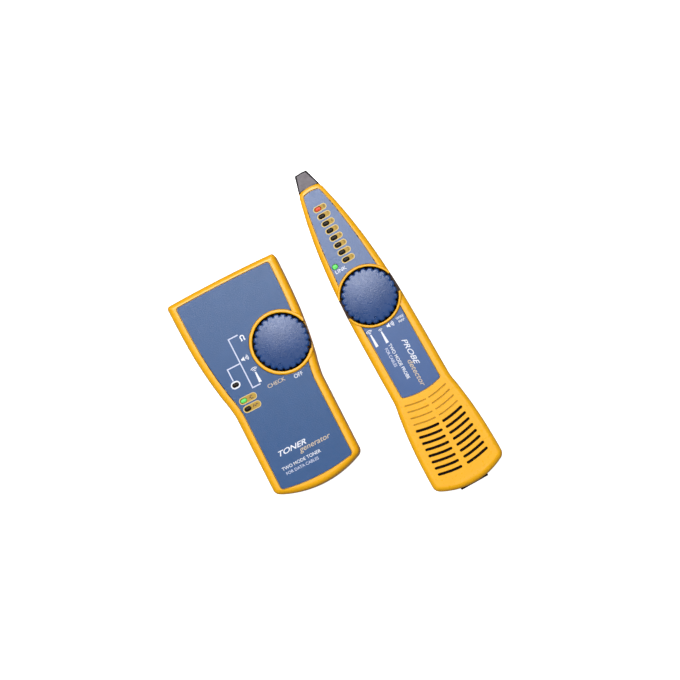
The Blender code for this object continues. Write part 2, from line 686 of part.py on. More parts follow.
def grille_bars(shape, count, first_y, inner, outer, width, z0, z1):
    """Rows of slots in pairs, each pair rising outwards like a smile; inner and outer give (first, last) x."""
    for row in range(count):
        share = row / (count - 1)
        near = inner[0] + (inner[1] - inner[0]) * share
        far = outer[0] + (outer[1] - outer[0]) * share
        y = first_y - row * GRILLE_PITCH + GRILLE_RISE / 2
        lean = math.degrees(math.atan2(GRILLE_RISE, far - near))
        for side in (-1, 1):
            at = (side * (near + far) / 2, y)
            shape.prism(stadium(at, far - near + width / 2, width, side * lean), z0, z1)


def probe_front(unit, outline, upper, lower):
    shell = front_shell(outline, PROBE_FACE).mesh("probe_front_case", taper)
    front = piece("probe_front_case", shell, YELLOW, unit)
    floor = PROBE_FACE - LABEL_DEPTH
    for name, label in (("upper", upper), ("lower", lower)):
        mesh = label.prism(floor, PROBE_FACE + 4, inset=-GAP).mesh(f"probe_{name}_recess")
        combine(front, tool(f"probe_{name}_recess", mesh, unit))
    clear = Shape().rod(PROBE_KNOB, (WELL_RADIUS + PROBE_BEZEL) / 2, PROBE_FACE - WELL_FLOOR - 1, 50,
                        sides=ROUND_SIDES)
    combine(front, tool("probe_well_room", clear.mesh("probe_well_room"), unit))
    well = knob_well("probe_well", unit, PROBE_KNOB, PROBE_FACE, PROBE_BEZEL)
    combine(well, tool("probe_well_limit", outline.prism(5, 50, inset=0.05).mesh("probe_well_limit"), unit),
            "INTERSECT")
    combine(front, well, "UNION")
    bosses = screw_bosses(PROBE_SCREWS, PROBE_FACE, taper)
    combine(front, tool("probe_bosses", bosses.mesh("probe_bosses"), unit), "UNION")
    openings = Shape()
    foot, head = PROBE_KNOB[1] - PROBE_NOTCH_HALF, PROBE_KNOB[1] + PROBE_NOTCH_HALF
    for side in (-1, 1):
        low, high = sorted((side * PROBE_THUMB_NOTCH, side * 30))
        openings.box((low, foot, PROBE_FACE - WELL_FLOOR), (high, head, 50))
    probe_windows(openings, PROBE_FACE - 6, PROBE_FACE + 4)
    grille_bars(openings, GRILLE_SLOTS, GRILLE_SLOT_Y, (1.6, 2.2), (16.2, 17.4), 1.3, 20, 40)
    grille_bars(openings, GRILLE_GROOVES, GRILLE_GROOVE_Y, (1.2, 1.5), (14.6, 15.6), 0.5, PROBE_FACE - 0.6, 40)
    low, high, reach = PROBE_JACK_Z - 2, PROBE_JACK_Z + LAN_JACK[2] + 2, LAN_JACK[0] / 2 + 3
    openings.box((-reach, -115, low), (reach, -90, high))
    screw_pilots(openings, PROBE_SCREWS, taper)
    openings.rod_along_y(0, PICKUP_Z, PICKUP_RADIUS + 0.4, 96, 112, 12)
    combine(front, tool("probe_front_openings", openings.mesh("probe_front_openings"), unit))


def probe_back(unit, outline):
    back = piece("probe_back_case", back_shell(outline).mesh("probe_back_case", taper), YELLOW, unit)
    pillars = screw_pillars(PROBE_SCREWS, taper)
    for at in PROBE_BOARD_POSTS:
        pillars.rod(at, POST_RADIUS - GAP, WALL - 0.6, PARTING - GAP - 0.5, SMALL_SIDES)
    combine(back, tool("probe_pillars", pillars.mesh("probe_pillars"), unit), "UNION")
    half, end, height = PROBE_DOOR
    openings = Shape().box((-half - 0.4, -115, -3), (half + 0.4, end + 0.4, height + 0.5))
    screw_passages(openings, PROBE_SCREWS, taper)
    openings.rod_along_y(0, PICKUP_Z, PICKUP_RADIUS + 0.4, 96, 112, 12)
    combine(back, tool("probe_back_openings", openings.mesh("probe_back_openings"), unit))
    low, high, reach = PROBE_JACK_Z - 2, PROBE_JACK_Z + LAN_JACK[2] + 2, LAN_JACK[0] / 2 + 3
    window = Shape().box((-reach, -115, low), (reach, -96, high))
    combine(back, tool("probe_back_jack_window", window.mesh("probe_back_jack_window"), unit))
    battery_door("probe_battery_door", unit, back_shell(outline).mesh("probe_battery_door"), PROBE_DOOR)


def probe_label(name, unit, label, windows):
    top = PROBE_FACE - LABEL_SUNK
    plate = piece(name, label.prism(top - LABEL_THICK, top).mesh(name), PALE_BLUE, unit)
    ring = Shape().rod(PROBE_KNOB, PROBE_BEZEL + GAP, top - 2, top + 2, sides=ROUND_SIDES)
    combine(plate, tool(name + "_ring", ring.mesh(name + "_ring"), unit))
    if windows:
        shape = Shape()
        windows(shape, top - 2, top + 2)
        combine(plate, tool(name + "_windows", shape.mesh(name + "_windows"), unit))


def tip_loop(inset, z):
    """Plan of the tip: hollow arc round the case's head, straight sides, small corners at the end."""
    radius = HEAD_ARCH + GAP
    centre = (0, HEAD_Y - HEAD_ARCH)
    root = math.asin((TIP_ROOT - inset) / radius)
    right = []
    for i in range(4):
        angle = root * i / 3
        right.append((centre[0] + radius * math.sin(angle), centre[1] + radius * math.cos(angle)))
    corner = 1.0
    crown = 0.2
    right += arc((TIP_END - inset - corner, TAPER_TO - inset - corner - crown), corner, 5, 90, 3)
    right.append((0, TAPER_TO - inset))
    left = [(-x, y) for x, y in right[-2:0:-1]]
    return [(x, y, z) for x, y in right + left]


def probe_tip(unit):
    chamfer = 1.7
    low, high = 3.0, PROBE_FACE - 1.4
    loops = [tip_loop(chamfer, low), tip_loop(0, low + 4), tip_loop(0, high - 3.2), tip_loop(chamfer, high)]
    tip = piece("probe_tip", Shape().loft(loops, strips=True).mesh("probe_tip", taper), GREY, unit)
    bore = Shape().rod_along_y(0, PICKUP_Z, PICKUP_RADIUS + GAP, 100, 111, 12)
    combine(tip, tool("probe_tip_bore", bore.mesh("probe_tip_bore"), unit))
    rod = Shape().rod_along_y(0, PICKUP_Z, PICKUP_RADIUS, 82, 110.6, 12)
    smooth(piece("probe_pickup_rod", rod.mesh("probe_pickup_rod"), BRASS, unit))


def probe_inside(unit):
    board_top = PROBE_BOARD + BOARD_THICK
    axis = knob("probe_knob", unit, PROBE_KNOB, PROBE_FACE, board_top + 0.6, PROBE_POINTER)
    knob_rotor("probe_knob_rotor", axis, board_top + 0.4, board_top + 1.9)
    detent_spring("probe_detent_spring", unit, PROBE_KNOB, board_top + 0.4)
    outline = [(-14, -32), (14, -32), (14, 40), (6.5, 46), (6.5, 78), (-6.5, 78), (-6.5, 46), (-14, 40)]
    board = Shape().prism(outline, PROBE_BOARD, board_top)
    piece("probe_circuit_board", board.mesh("probe_circuit_board"), BOARD_GREEN, unit)
    jack("probe_lan_jack", unit, 0, PROBE_JACK_OUT, PROBE_JACK_Z, LAN_JACK, LAN_SOCKET, -1, flange=1.5)
    battery("probe_battery", unit, PROBE_BATTERY_Y)
    battery_snap("probe_battery_snap", unit, PROBE_BATTERY_Y)
    speaker(unit)
    mesh_plate = Shape().box((-18.4, -98.5, PROBE_FACE - 3.6), (18.4, -61.5, PROBE_FACE - 3.2))
    mesh_item = piece("probe_dust_mesh", mesh_plate.mesh("probe_dust_mesh"), PAPER, unit)
    corners = Shape()
    for side in (-1, 1):
        corners.rod((side * PROBE_SCREWS[-1][0], PROBE_SCREWS[-1][1]), 3.5, 20, 30, SMALL_SIDES)
    combine(mesh_item, tool("probe_mesh_corners", corners.mesh("probe_mesh_corners"), unit))


def speaker(unit):
    """Flat speaker: dished frame, cone and magnet, all turned about one axis."""
    top = PROBE_FACE - 4.0
    at = (*SPEAKER_AT, 0)
    rim = SPEAKER_RADIUS
    frame = [(rim, top), (rim, top - 1.2), (14.5, top - 1.2), (10, top - 3.4), (3, top - 3.4), (3, top - 2.8),
             (9.6, top - 2.8), (13.6, top - 0.9), (15.0, top)]
    smooth(turn(piece("probe_speaker_frame", turned_mesh("probe_speaker_frame", frame), STEEL, unit, at), 20))
    cone = [(13.9, top), (13.9, top - 0.3), (9.2, top - 2.4), (4.0, top - 2.4), (4.0, top - 2.0), (9.0, top - 2.0)]
    smooth(turn(piece("probe_speaker_cone", turned_mesh("probe_speaker_cone", cone), PAPER, unit, at), 20))
    magnet = Shape().rod(SPEAKER_AT, 7.5, top - 5.1, top - 3.7, sides=20)
    smooth(piece("probe_speaker_magnet", magnet.mesh("probe_speaker_magnet"), STEEL, unit))


for old in list(bpy.data.objects):
    bpy.data.objects.remove(old, do_unlink=True)
PARTS = bpy.data.collections.new("tone_probe_kit")
CUTTERS = bpy.data.collections.new("cutters")
bpy.context.scene.collection.children.link(PARTS)
bpy.context.scene.collection.children.link(CUTTERS)
toner()
probe()
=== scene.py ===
"""Looks of the tone probe kit, at full detail round the CAD frame.

Shapes are drawn in millimetres in each instrument's own frame: x across, y along it towards its head,
z up from the flat back. A finished mesh is then carried into the row frame, in metres.
"""

import json
import math

import bmesh
import bpy
from mathutils import Matrix, Vector


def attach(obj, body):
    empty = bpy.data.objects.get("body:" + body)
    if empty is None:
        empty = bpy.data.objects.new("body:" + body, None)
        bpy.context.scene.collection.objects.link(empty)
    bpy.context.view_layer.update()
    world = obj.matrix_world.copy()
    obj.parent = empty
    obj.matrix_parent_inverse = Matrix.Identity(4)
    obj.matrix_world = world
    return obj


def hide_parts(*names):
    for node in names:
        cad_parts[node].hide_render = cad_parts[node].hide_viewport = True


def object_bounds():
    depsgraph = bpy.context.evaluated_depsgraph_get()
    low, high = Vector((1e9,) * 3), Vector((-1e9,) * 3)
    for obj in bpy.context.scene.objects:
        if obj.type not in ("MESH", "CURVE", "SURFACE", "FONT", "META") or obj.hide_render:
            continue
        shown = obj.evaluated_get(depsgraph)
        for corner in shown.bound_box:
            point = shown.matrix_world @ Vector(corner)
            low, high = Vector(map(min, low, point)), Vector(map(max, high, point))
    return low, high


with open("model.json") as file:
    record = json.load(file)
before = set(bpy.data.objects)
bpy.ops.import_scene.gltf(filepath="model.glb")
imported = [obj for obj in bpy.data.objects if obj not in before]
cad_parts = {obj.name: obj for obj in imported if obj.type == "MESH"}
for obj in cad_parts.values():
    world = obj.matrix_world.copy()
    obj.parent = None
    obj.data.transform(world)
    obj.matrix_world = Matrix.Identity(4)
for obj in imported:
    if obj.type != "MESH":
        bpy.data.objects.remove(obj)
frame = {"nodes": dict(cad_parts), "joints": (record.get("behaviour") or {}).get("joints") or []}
CAD_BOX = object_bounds()

MM = 0.001
GAP = 0.3  # clearance between neighbouring pieces
WALL = 2.2  # moulded wall
PARTING = 14.0  # height of the joint between front and back case
SEAM = 0.35  # rounding of the edges at that joint
RIM_ROUND = 3.4  # rounding of the outer edges
BACK_ROUND = 3.0
ABOVE = 50  # height clear of everything, where cutters end
ROUND_STEPS = 8  # facets of a quarter round
TURN_SIDES = 160  # facets of the knob wells and of what fits round them
SCREW_SIDES = 40
SCREW_HEAD = 2.5
SCREW_SEAT = 3.2  # height of the screw seats above the back

LABEL_DEPTH = 1.0  # recess under the face labels
LABEL_SUNK = 0.3  # label surface below the rim
LABEL_THICK = 0.4
BORDER_ROUND = 0.35  # rounding of the border's inner edge
CEILING_DEPTH = 2.8  # underside of the face wall, below the rim
INK_UNDER = 0.02  # print starts this far inside the label
INK_OVER = 0.03  # and stands this far above it

KNOB_RADIUS = 17.5
KNOB_FLUTES = 24
FLUTE_DEPTH = 0.95
FLUTE_HALF = 0.95  # half-width of a flute at the rim
KNOB_RISE = 2.5  # top of the knob's dome above the rim
KNOB_UNDERSIDE = 8.0  # underside of the knob below the rim
KNOB_CROWN = 1.2  # height of the dome over its shoulder
KNOB_SHOULDER = 1.1  # rounding between dome and side
WELL_RADIUS = 18.3
WELL_FLOOR = 8.6  # floor of the knob's well, below the rim
BEZEL_RISE = 1.3
SHAFT_RADIUS = 3.0
SHAFT_END = 0.6  # lower end of the shaft above the board
POINTER_RADIUS = 14.1

TONER_FACE = 28.5  # height of the toner's rim
TONER_KNOB = (17.0, 14.1)
TONER_POINTER = -121.0  # degrees, where the knob points at rest
TONER_BOARD_TOP = 11.2
TONER_BEZEL = 20.4  # outer radius of the raised ring round the knob
TONER_WIDTH = ((-76, 29.8), (-16, 29.8), (-8, 30.75), (0, 32.45), (16, 35.0), (32, 36.6), (48, 37.25),
               (67, 37.5))  # half-width of the case at each y
TONER_BORDER = 5.2  # yellow border beside the label
TONER_LEDS = ((-20.7, 3.3), (-20.7, -7.7), (-20.6, -13.4))
TONER_SCREWS = ((-30, 56), (30, 56), (-23.2, -64), (23.2, -64))
TONER_THUMB_NOTCH = (30.2, 2.2, 19.8)  # x, and the two ends in y

PROBE_FACE = 29.5
PROBE_KNOB = (0.0, 25.5)
PROBE_POINTER = -103.0
PROBE_BOARD_TOP = 16.1
PROBE_BEZEL = 19.9
PROBE_WIDTH = ((-108, 24.4), (-95, 24.4), (-80, 24.05), (-65, 23.0), (-50, 21.1), (-40, 19.6), (-10, 19.4),
               (20, 18.95), (40, 17.75), (60, 15.75), (80, 12.6), (95, 9.35), (105, 6.85))
UPPER_LABEL_WIDTH = ((30, 14.7), (41.3, 13.4), (55, 12.3), (65, 11.3), (75, 9.95), (85, 8.4),
                     (95, 6.45), (100.3, 5.3))
LOWER_LABEL_WIDTH = ((-45, 13.5), (20, 13.5))
PROBE_LED_TOP = 88.5
PROBE_LED_PITCH = 5.14
PROBE_LED_X = -1.4
PROBE_SYNC = (-9.8, 51.8)
PROBE_SCREWS = ((-10.0, 56), (10.0, 56), (-18.3, -96.8), (18.3, -96.8))
PROBE_THUMB_NOTCH = 16.9  # beyond this x the bezel and the side walls are cut away
PROBE_NOTCH_HALF = 6.4
TAPER_FROM = 30.0  # the underside rises from here to the tip
TAPER_TO = 113.7
TAPER_LEFT = 0.36  # depth left at the tip, as a fraction
TAPER_POWER = 1.4

HEAD_ARCH = 14.4  # radius of the probe case's head, which the tip fits round
HEAD_Y = 104.0
TIP_ROOT = 7.2  # half-widths of the tip
TIP_END = 4.15
PICKUP_Z = 22.7
PICKUP_RADIUS = 1.6
PICKUP_BORE = (96, 112)  # ends of its bore in the case, in y

LED_WINDOW = (4.6, 2.9)  # length and width of an indicator's opening
SYNC_WINDOW = (4.2, 3.6)
TONER_DOOR = (14.5, -18.6, 11.0)  # half-width, upper end and top of a battery door
TONER_DOOR_ROOM = (14.9, -18.2, 11.3)  # and of its opening
DOOR_GRIPS = 5  # curved finger grips, and the step between them
GRIP_PITCH = 2.2

GRILLE_SLOTS = 8
GRILLE_SLOT_Y = -64.7
GRILLE_SLOT_WIDTH = 1.7
GRILLE_FLARE = 0.12  # widening at a slot's mouth
GRILLE_GROOVES = 4
GRILLE_GROOVE_Y = -47.5
GROOVE_FOOT = 0.4  # width of a groove at its foot and its mouth
GROOVE_MOUTH = 0.9
GROOVE_DEPTH = 1.0
GRILLE_PITCH = 4.29
GRILLE_RISE = 2.2

LAN_JACK = (16.0, 16.0, 13.4)  # width, depth, height
LAN_SOCKET = (11.8, 13.5, 8.2)
LAN_PINS = 8
PHONE_JACK = (13.2, 14.0, 12.0)
PHONE_SOCKET = (9.8, 11.5, 6.8)
PHONE_PINS = 4
PIN_PITCH = 1.02
FLANGE_DEPTH = 2.2
CONTACT_INSET = 3.5  # front ends of the contacts, behind the jack's face
TONER_LAN_X = -13.0
TONER_PHONE_X = 9.0
TONER_HEAD_Y = 67.0
JACK_SUNK = 0.6  # jack face below the case's end
PROBE_JACK_Z = 8.4
PROBE_JACK_OUT = -107.6  # the dark shroud stands proud of the butt
PROBE_DOOR = (14.3, -34.6, PROBE_JACK_Z - 3.0)
PROBE_DOOR_ROOM = (14.7, -34.2, PROBE_JACK_Z - 2.5)

# the well and groove looks are painted shade: dark colours standing in for shadow in the case's hollows
CASE_LOOKS = ("yellow", "well", "groove")  # materials of a front moulding, in the order of its slots
WALL_TILT = 0.75  # a face counts as a wall where its normal's z is under this
FLAT = 0.999  # and as flat where it is over this
TIP_FLAT = 0.995
SKIN = 0.01  # a face this close under the rim isn't in a hollow

PICTURE_LEAN = 27.1
TILT_RIGHT = 2.6  # degrees that the camera stands off the vertical
TILT_DOWN = 2.4
CAMERA_AIM = (0.01475, 0.00693)
AIM_BELOW = 0.003
CAMERA_DISTANCE = 2.35
CAMERA_LENS = 200
SENSOR = 36
SURROUNDINGS = 0.18
LIGHTS = (  # name, height, places up and left in the picture, size in metres, power, rays it is hidden from
    ("overhead", 1.7, 0.35, 0.3, 2.0, 47.0, "visible_glossy"),
    ("key", 0.76, 0.33, 0.12, 0.42, 5.7, "visible_diffuse"))
FLOOR_HALF = 4.0
FLOOR_SECTIONS = 24
FLOOR_GLOW = 0.8


# --- Materials ---

class Look:
    """A procedural material: a Principled shader with colour, roughness and relief worked out from noise."""

    def __init__(self, name, colour, roughness, metallic=0.0):
        self.material = bpy.data.materials.new(name)
        self.material.use_nodes = True
        self.tree = self.material.node_tree
        self.shader = self.tree.nodes["Principled BSDF"]
        self.colour = colour
        self.shader.inputs["Base Color"].default_value = (*colour, 1)
        self.shader.inputs["Roughness"].default_value = roughness
        self.shader.inputs["Metallic"].default_value = metallic
        self.roughness = roughness
        self.where = self.node("ShaderNodeTexCoord", {}).outputs["Object"]

    def node(self, kind, inputs, **settings):
        """New node; each input is given its value, or linked to the socket that is given."""
        made = self.tree.nodes.new(kind)
        for key, value in settings.items():
            setattr(made, key, value)
        for key, value in inputs.items():
            if isinstance(value, bpy.types.NodeSocket):
                self.tree.links.new(value, made.inputs[key])
            else:
                made.inputs[key].default_value = value
        return made

    def drive(self, name, source):
        self.tree.links.new(source, self.shader.inputs[name])
        return self

    def set(self, **values):
        """Constant shader values, by socket name with underscores for spaces."""
        for key, value in values.items():
            self.shader.inputs[key.replace("_", " ")].default_value = value
        return self

    def noise(self, size, detail=3.0, stretch=(1, 1, 1)):
        """Noise whose features are about size millimetres across."""
        scale = [1 / (size * MM * s) for s in stretch]
        place = self.node("ShaderNodeMapping", {"Vector": self.where, "Scale": scale}).outputs["Vector"]
        inputs = {"Vector": place, "Scale": 1.0, "Detail": detail}
        return self.node("ShaderNodeTexNoise", inputs).outputs["Fac"]

    def spread(self, source, low, high):
        """Source's middle range carried onto low to high."""
        limits = {"From Min": 0.3, "From Max": 0.7, "To Min": low, "To Max": high}
        return self.node("ShaderNodeMapRange", {"Value": source, **limits}).outputs["Result"]

    def mottled(self, source, other):
        """Base colour drifting from the look's own towards another with the source."""
        colours = {"A": (*self.colour, 1), "B": (*other, 1), "Factor": self.spread(source, 0.0, 1.0)}
        mix = self.node("ShaderNodeMix", colours, data_type="RGBA")
        return self.drive("Base Color", mix.outputs["Result"])

    def uneven_gloss(self, source, amount):
        return self.drive("Roughness", self.spread(source, self.roughness - amount, self.roughness + amount))

    def relief(self, source, height):
        """Bump from the source, height millimetres deep."""
        bump = self.node("ShaderNodeBump", {"Distance": height * MM, "Strength": 1.0, "Height": source})
        return self.drive("Normal", bump.outputs["Normal"])


def shade(colour, factor):
    return tuple(min(value * factor, 1.0) for value in colour)


def moulded(name, colour, roughness, grain=0.25, depth=0.012, drift=0.92, metallic=0.0):
    """Moulded plastic: fine spark-eroded grain, slow drift of colour and of gloss."""
    look = Look(name, colour, roughness, metallic)
    look.mottled(look.noise(9.0), shade(colour, drift))
    look.uneven_gloss(look.noise(2.5), 0.05)
    look.relief(look.noise(grain, 2.0), depth)
    return look


def film(name, colour):
    """Label film: satin, with a coarser and deeper grain."""
    return moulded(name, colour, 0.33, grain=0.6, depth=0.10, drift=0.94)


def printed(name, colour, roughness=0.45):
    """Screen-printed ink: slightly uneven cover over the label."""
    look = Look(name, colour, roughness)
    look.mottled(look.noise(0.6), shade(colour, 0.88))
    look.relief(look.noise(0.2), 0.004)
    return look


def indicator(name, colour, glow, strength):
    """Cast lens over a lamp: clear-coated, with a soft inner glow when lit."""
    look = Look(name, colour, 0.3)
    look.mottled(look.noise(0.8), shade(colour, 0.8))
    look.relief(look.noise(0.7), 0.01)
    look.set(Coat_Weight=0.03, Coat_Roughness=0.3, Specular_IOR_Level=0.15)
    return look.set(Emission_Color=(*glow, 1), Emission_Strength=strength)


def brushed(name, colour, roughness, stretch=(12, 1, 1)):
    """Metal with fine drawn lines."""
    look = Look(name, colour, roughness, 1.0)
    lines = look.noise(0.15, 2.0, stretch)
    look.mottled(lines, shade(colour, 0.82))
    look.uneven_gloss(look.noise(1.5), 0.08)
    look.relief(lines, 0.004)
    return look


def woven(name, colour, thread):
    """Cloth of crossing threads."""
    look = Look(name, colour, 0.85)
    waves = []
    for way in ("X", "Y"):
        inputs = {"Vector": look.where, "Scale": 1 / (thread * MM * math.tau), "Distortion": 0.4}
        waves.append(look.node("ShaderNodeTexWave", inputs, bands_direction=way).outputs["Fac"])
    cross = look.node("ShaderNodeMath", dict(enumerate(waves)), operation="MULTIPLY")
    look.mottled(cross.outputs["Value"], shade(colour, 2.5))
    look.relief(cross.outputs["Value"], 0.05)
    return look


LOOKS = {
    "yellow": moulded("yellow_moulding", (0.87, 0.42, 0.004), 0.30, drift=0.95).set(
        Specular_IOR_Level=0.42),
    # painted shade: dark brown for the shadow inside the knob's well and in the gap round the labels
    "well": moulded("painted_well_shade", (0.045, 0.016, 0.004), 0.6, drift=0.8),
    "blue": film("blue_film", (0.010, 0.066, 0.205)),
    "pale_blue": film("pale_blue_film", (0.080, 0.136, 0.292)),
    "mid_blue": film("mid_blue_film", (0.030, 0.088, 0.258)),
    "knob": moulded("knob_moulding", (0.005, 0.045, 0.182), 0.30, grain=0.7, depth=0.12, drift=0.9).set(
        Specular_IOR_Level=0.6),
    # painted shade: darker yellow for the shadow inside the grille's grooves
    "groove": moulded("painted_groove_shade", (0.64, 0.35, 0.008), 0.5, drift=0.9),
    "tip": moulded("tip_face", (0.105, 0.084, 0.102), 0.45, grain=0.3, depth=0.02, drift=0.85),
    "black": moulded("black_moulding", (0.010, 0.009, 0.010), 0.55, drift=1.8).set(Specular_IOR_Level=0.12),
    "nylon": moulded("white_nylon", (0.72, 0.72, 0.68), 0.45),
    "white_ink": printed("white_ink", (0.80, 0.82, 0.90)),
    "lavender_ink": printed("lavender_ink", (0.58, 0.62, 0.80)),
    "tan_ink": printed("tan_ink", (0.58, 0.47, 0.33)),
    "brown_ink": printed("brown_ink", (0.10, 0.045, 0.012)),
    "gold_ink": printed("gold_ink", (0.48, 0.30, 0.045)).set(Specular_IOR_Level=0.2),
    "pale_gold_ink": printed("pale_gold_ink", (0.72, 0.54, 0.20)),
    "board": moulded("solder_mask", (0.015, 0.13, 0.05), 0.35, grain=0.8, depth=0.03, drift=0.6),
    "paper": moulded("cone_paper", (0.06, 0.06, 0.062), 0.85, grain=0.5, depth=0.05, drift=1.6),
    "can": moulded("battery_wrap", (0.08, 0.085, 0.1), 0.3, grain=1.2, depth=0.01, drift=1.6, metallic=0.4),
    "cloth": woven("dust_cloth", (0.006, 0.006, 0.006), 0.6),
    "steel": brushed("plated_steel", (0.60, 0.60, 0.61), 0.32),
    "brass": brushed("drawn_brass", (0.72, 0.52, 0.22), 0.33, (1, 12, 1)),
    "gold": brushed("contact_gold", (0.85, 0.62, 0.25), 0.25, (1, 12, 1)),
    "smoke": moulded("smoke_lens", (0.008, 0.005, 0.003), 0.45, grain=0.7, depth=0.006).set(
        Specular_IOR_Level=0.2),
    "green": indicator("green_lens", (0.10, 0.55, 0.11), (0.16, 0.80, 0.15), 0.32),
    "red": indicator("red_lens", (0.58, 0.06, 0.02), (1.0, 0.12, 0.04), 0.30),
}


# --- Mesh helpers ---

def placed(name, data):
    """New object in the scene."""
    item = bpy.data.objects.new(name, data)
    bpy.context.scene.collection.objects.link(item)
    return item


def curve_through(knots, y):
    """Smooth curve through (position, value) knots that never overshoots them."""
    if y <= knots[0][0]:
        return knots[0][1]
    if y >= knots[-1][0]:
        return knots[-1][1]
    slopes = [(b[1] - a[1]) / (b[0] - a[0]) for a, b in zip(knots, knots[1:])]
    tangents = [slopes[0]]
    for before, after in zip(slopes, slopes[1:]):
        same_way = before * after > 0
        tangents.append(2 * before * after / (before + after) if same_way else 0.0)
    tangents.append(slopes[-1])
    index = max(i for i, knot in enumerate(knots[:-1]) if knot[0] <= y)
    (y0, v0), (y1, v1) = knots[index], knots[index + 1]
    span = y1 - y0
    t = (y - y0) / span
    start = (1 + 2 * t) * (1 - t) ** 2 * v0 + t * (1 - t) ** 2 * span * tangents[index]
    end = t * t * (3 - 2 * t) * v1 + t * t * (t - 1) * span * tangents[index + 1]
    return start + end


def arc(centre, radius, start, end, steps):
    """Points along an arc, both ends included; angles in degrees."""
    points = []
    for i in range(steps + 1):
        angle = math.radians(start + (end - start) * i / steps)
        points.append((centre[0] + radius * math.cos(angle), centre[1] + radius * math.sin(angle)))
    return points


def quarter(steps=ROUND_STEPS):
    """(inset, drop) of a unit quarter round, from its lower end to its top."""
    return [(1 - math.cos(a), 1 - math.sin(a)) for a in (math.pi / 2 * i / steps for i in range(steps + 1))]


def stadium(at, length, width, steps=12):
    """Outline of a slot with round ends."""
    reach = (length - width) / 2
    ends = arc((reach, 0), width / 2, -90, 90, steps) + arc((-reach, 0), width / 2, 90, 270, steps)
    if reach < 0.01:
        ends = arc((0, 0), width / 2, 0, 360 - 180 / steps, 2 * steps - 1)
    return [(at[0] + x, at[1] + y) for x, y in ends]


def smile(near, far, y, rise, width, steps=14):
    """Outline of a slot that starts level at x = near and curves up to x = far."""
    middle = []
    for i in range(steps + 1):
        share = i / steps
        middle.append(Vector((near + (far - near) * share, y + rise * share ** 1.6)))
    sides = [[], []]
    for i, point in enumerate(middle):
        along = middle[min(i + 1, steps)] - middle[max(i - 1, 0)]
        across = Vector((-along.y, along.x)).normalized() * width / 2
        sides[0].append(point - across)
        sides[1].append(point + across)
    start, end = middle[0] - middle[1], middle[-1] - middle[-2]
    caps = []
    for centre, way in ((middle[-1], end), (middle[0], start)):
        heading = math.degrees(math.atan2(way.y, way.x))
        caps.append([Vector(p) for p in arc(centre, width / 2, heading - 90, heading + 90, 8)[1:-1]])
    if far < near:
        sides.reverse()
        caps = [cap[::-1] for cap in caps]
    outline = sides[0] + caps[0] + sides[1][::-1] + caps[1]
    return [tuple(point) for point in outline]


def give_looks(item, looks):
    """The item's material slots, in order."""
    item.data.materials.clear()
    for look in looks:
        item.data.materials.append(LOOKS[look].material)


class Shape:
    """Closed solids gathered into one mesh, in millimetres in an instrument's own frame."""

    def __init__(self):
        self.bm = bmesh.new()

    def box(self, low, high):
        centre = [(a + b) / 2 for a, b in zip(low, high)]
        size = [b - a for a, b in zip(low, high)]
        place = Matrix.Translation(centre) @ Matrix.Diagonal((*size, 1))
        bmesh.ops.create_cube(self.bm, size=1, matrix=place)
        return self

    def rod(self, at, radius, z0, z1, sides=SCREW_SIDES):
        return self.prism(arc(at, radius, 0, 360 - 360 / sides, sides - 1), z0, z1)

    def rod_along_y(self, x, z, radius, y0, y1, sides=SCREW_SIDES):
        circle = arc((x, z), radius, 0, 360 - 360 / sides, sides - 1)
        return self.loft([[(px, y, pz) for px, pz in circle] for y in (y0, y1)])

    def loft(self, loops, strips=False, ring=False):
        """Skin over loops of points. Strips caps the ends across, ring joins the last loop to the first."""
        rings = [[self.bm.verts.new(point) for point in loop] for loop in loops]
        count = len(rings[0])
        if ring:
            rings.append(rings[0])
        for low, high in zip(rings, rings[1:]):
            for i in range(count):
                j = (i + 1) % count
                self.bm.faces.new((low[i], low[j], high[j], high[i]))
        for end in () if ring else (rings[0], rings[-1]):
            if strips:
                self.bm.faces.new((end[0], end[1], end[-1]))
                for i in range(1, count // 2 - 1):
                    self.bm.faces.new((end[i], end[i + 1], end[-i - 1], end[-i]))
                middle = count // 2
                self.bm.faces.new((end[middle - 1], end[middle], end[middle + 1]))
            else:
                self.bm.faces.new(end)
        return self

    def prism(self, outline, z0, z1):
        return self.loft([[(x, y, z) for x, y in outline] for z in (z0, z1)])

    def turned(self, profile, at=(0, 0), sides=TURN_SIDES, ring=False):
        """(radius, z) profile turned about an upright axis; ring closes the profile on itself."""
        circle = arc((0, 0), 1.0, 0, 360 - 360 / sides, sides - 1)
        loops = [[(at[0] + r * x, at[1] + r * y, z) for x, y in circle] for r, z in profile]
        return self.loft(loops, ring=ring)

    def item(self, name, warp=None):
        """Ends the shape as an object still in millimetres."""
        if warp:
            for vert in self.bm.verts:
                vert.co.z = warp(vert.co.y, vert.co.z)
        bmesh.ops.recalc_face_normals(self.bm, faces=self.bm.faces)
        mesh = bpy.data.meshes.new(name)
        self.bm.to_mesh(mesh)
        self.bm.free()
        return placed(name, mesh)


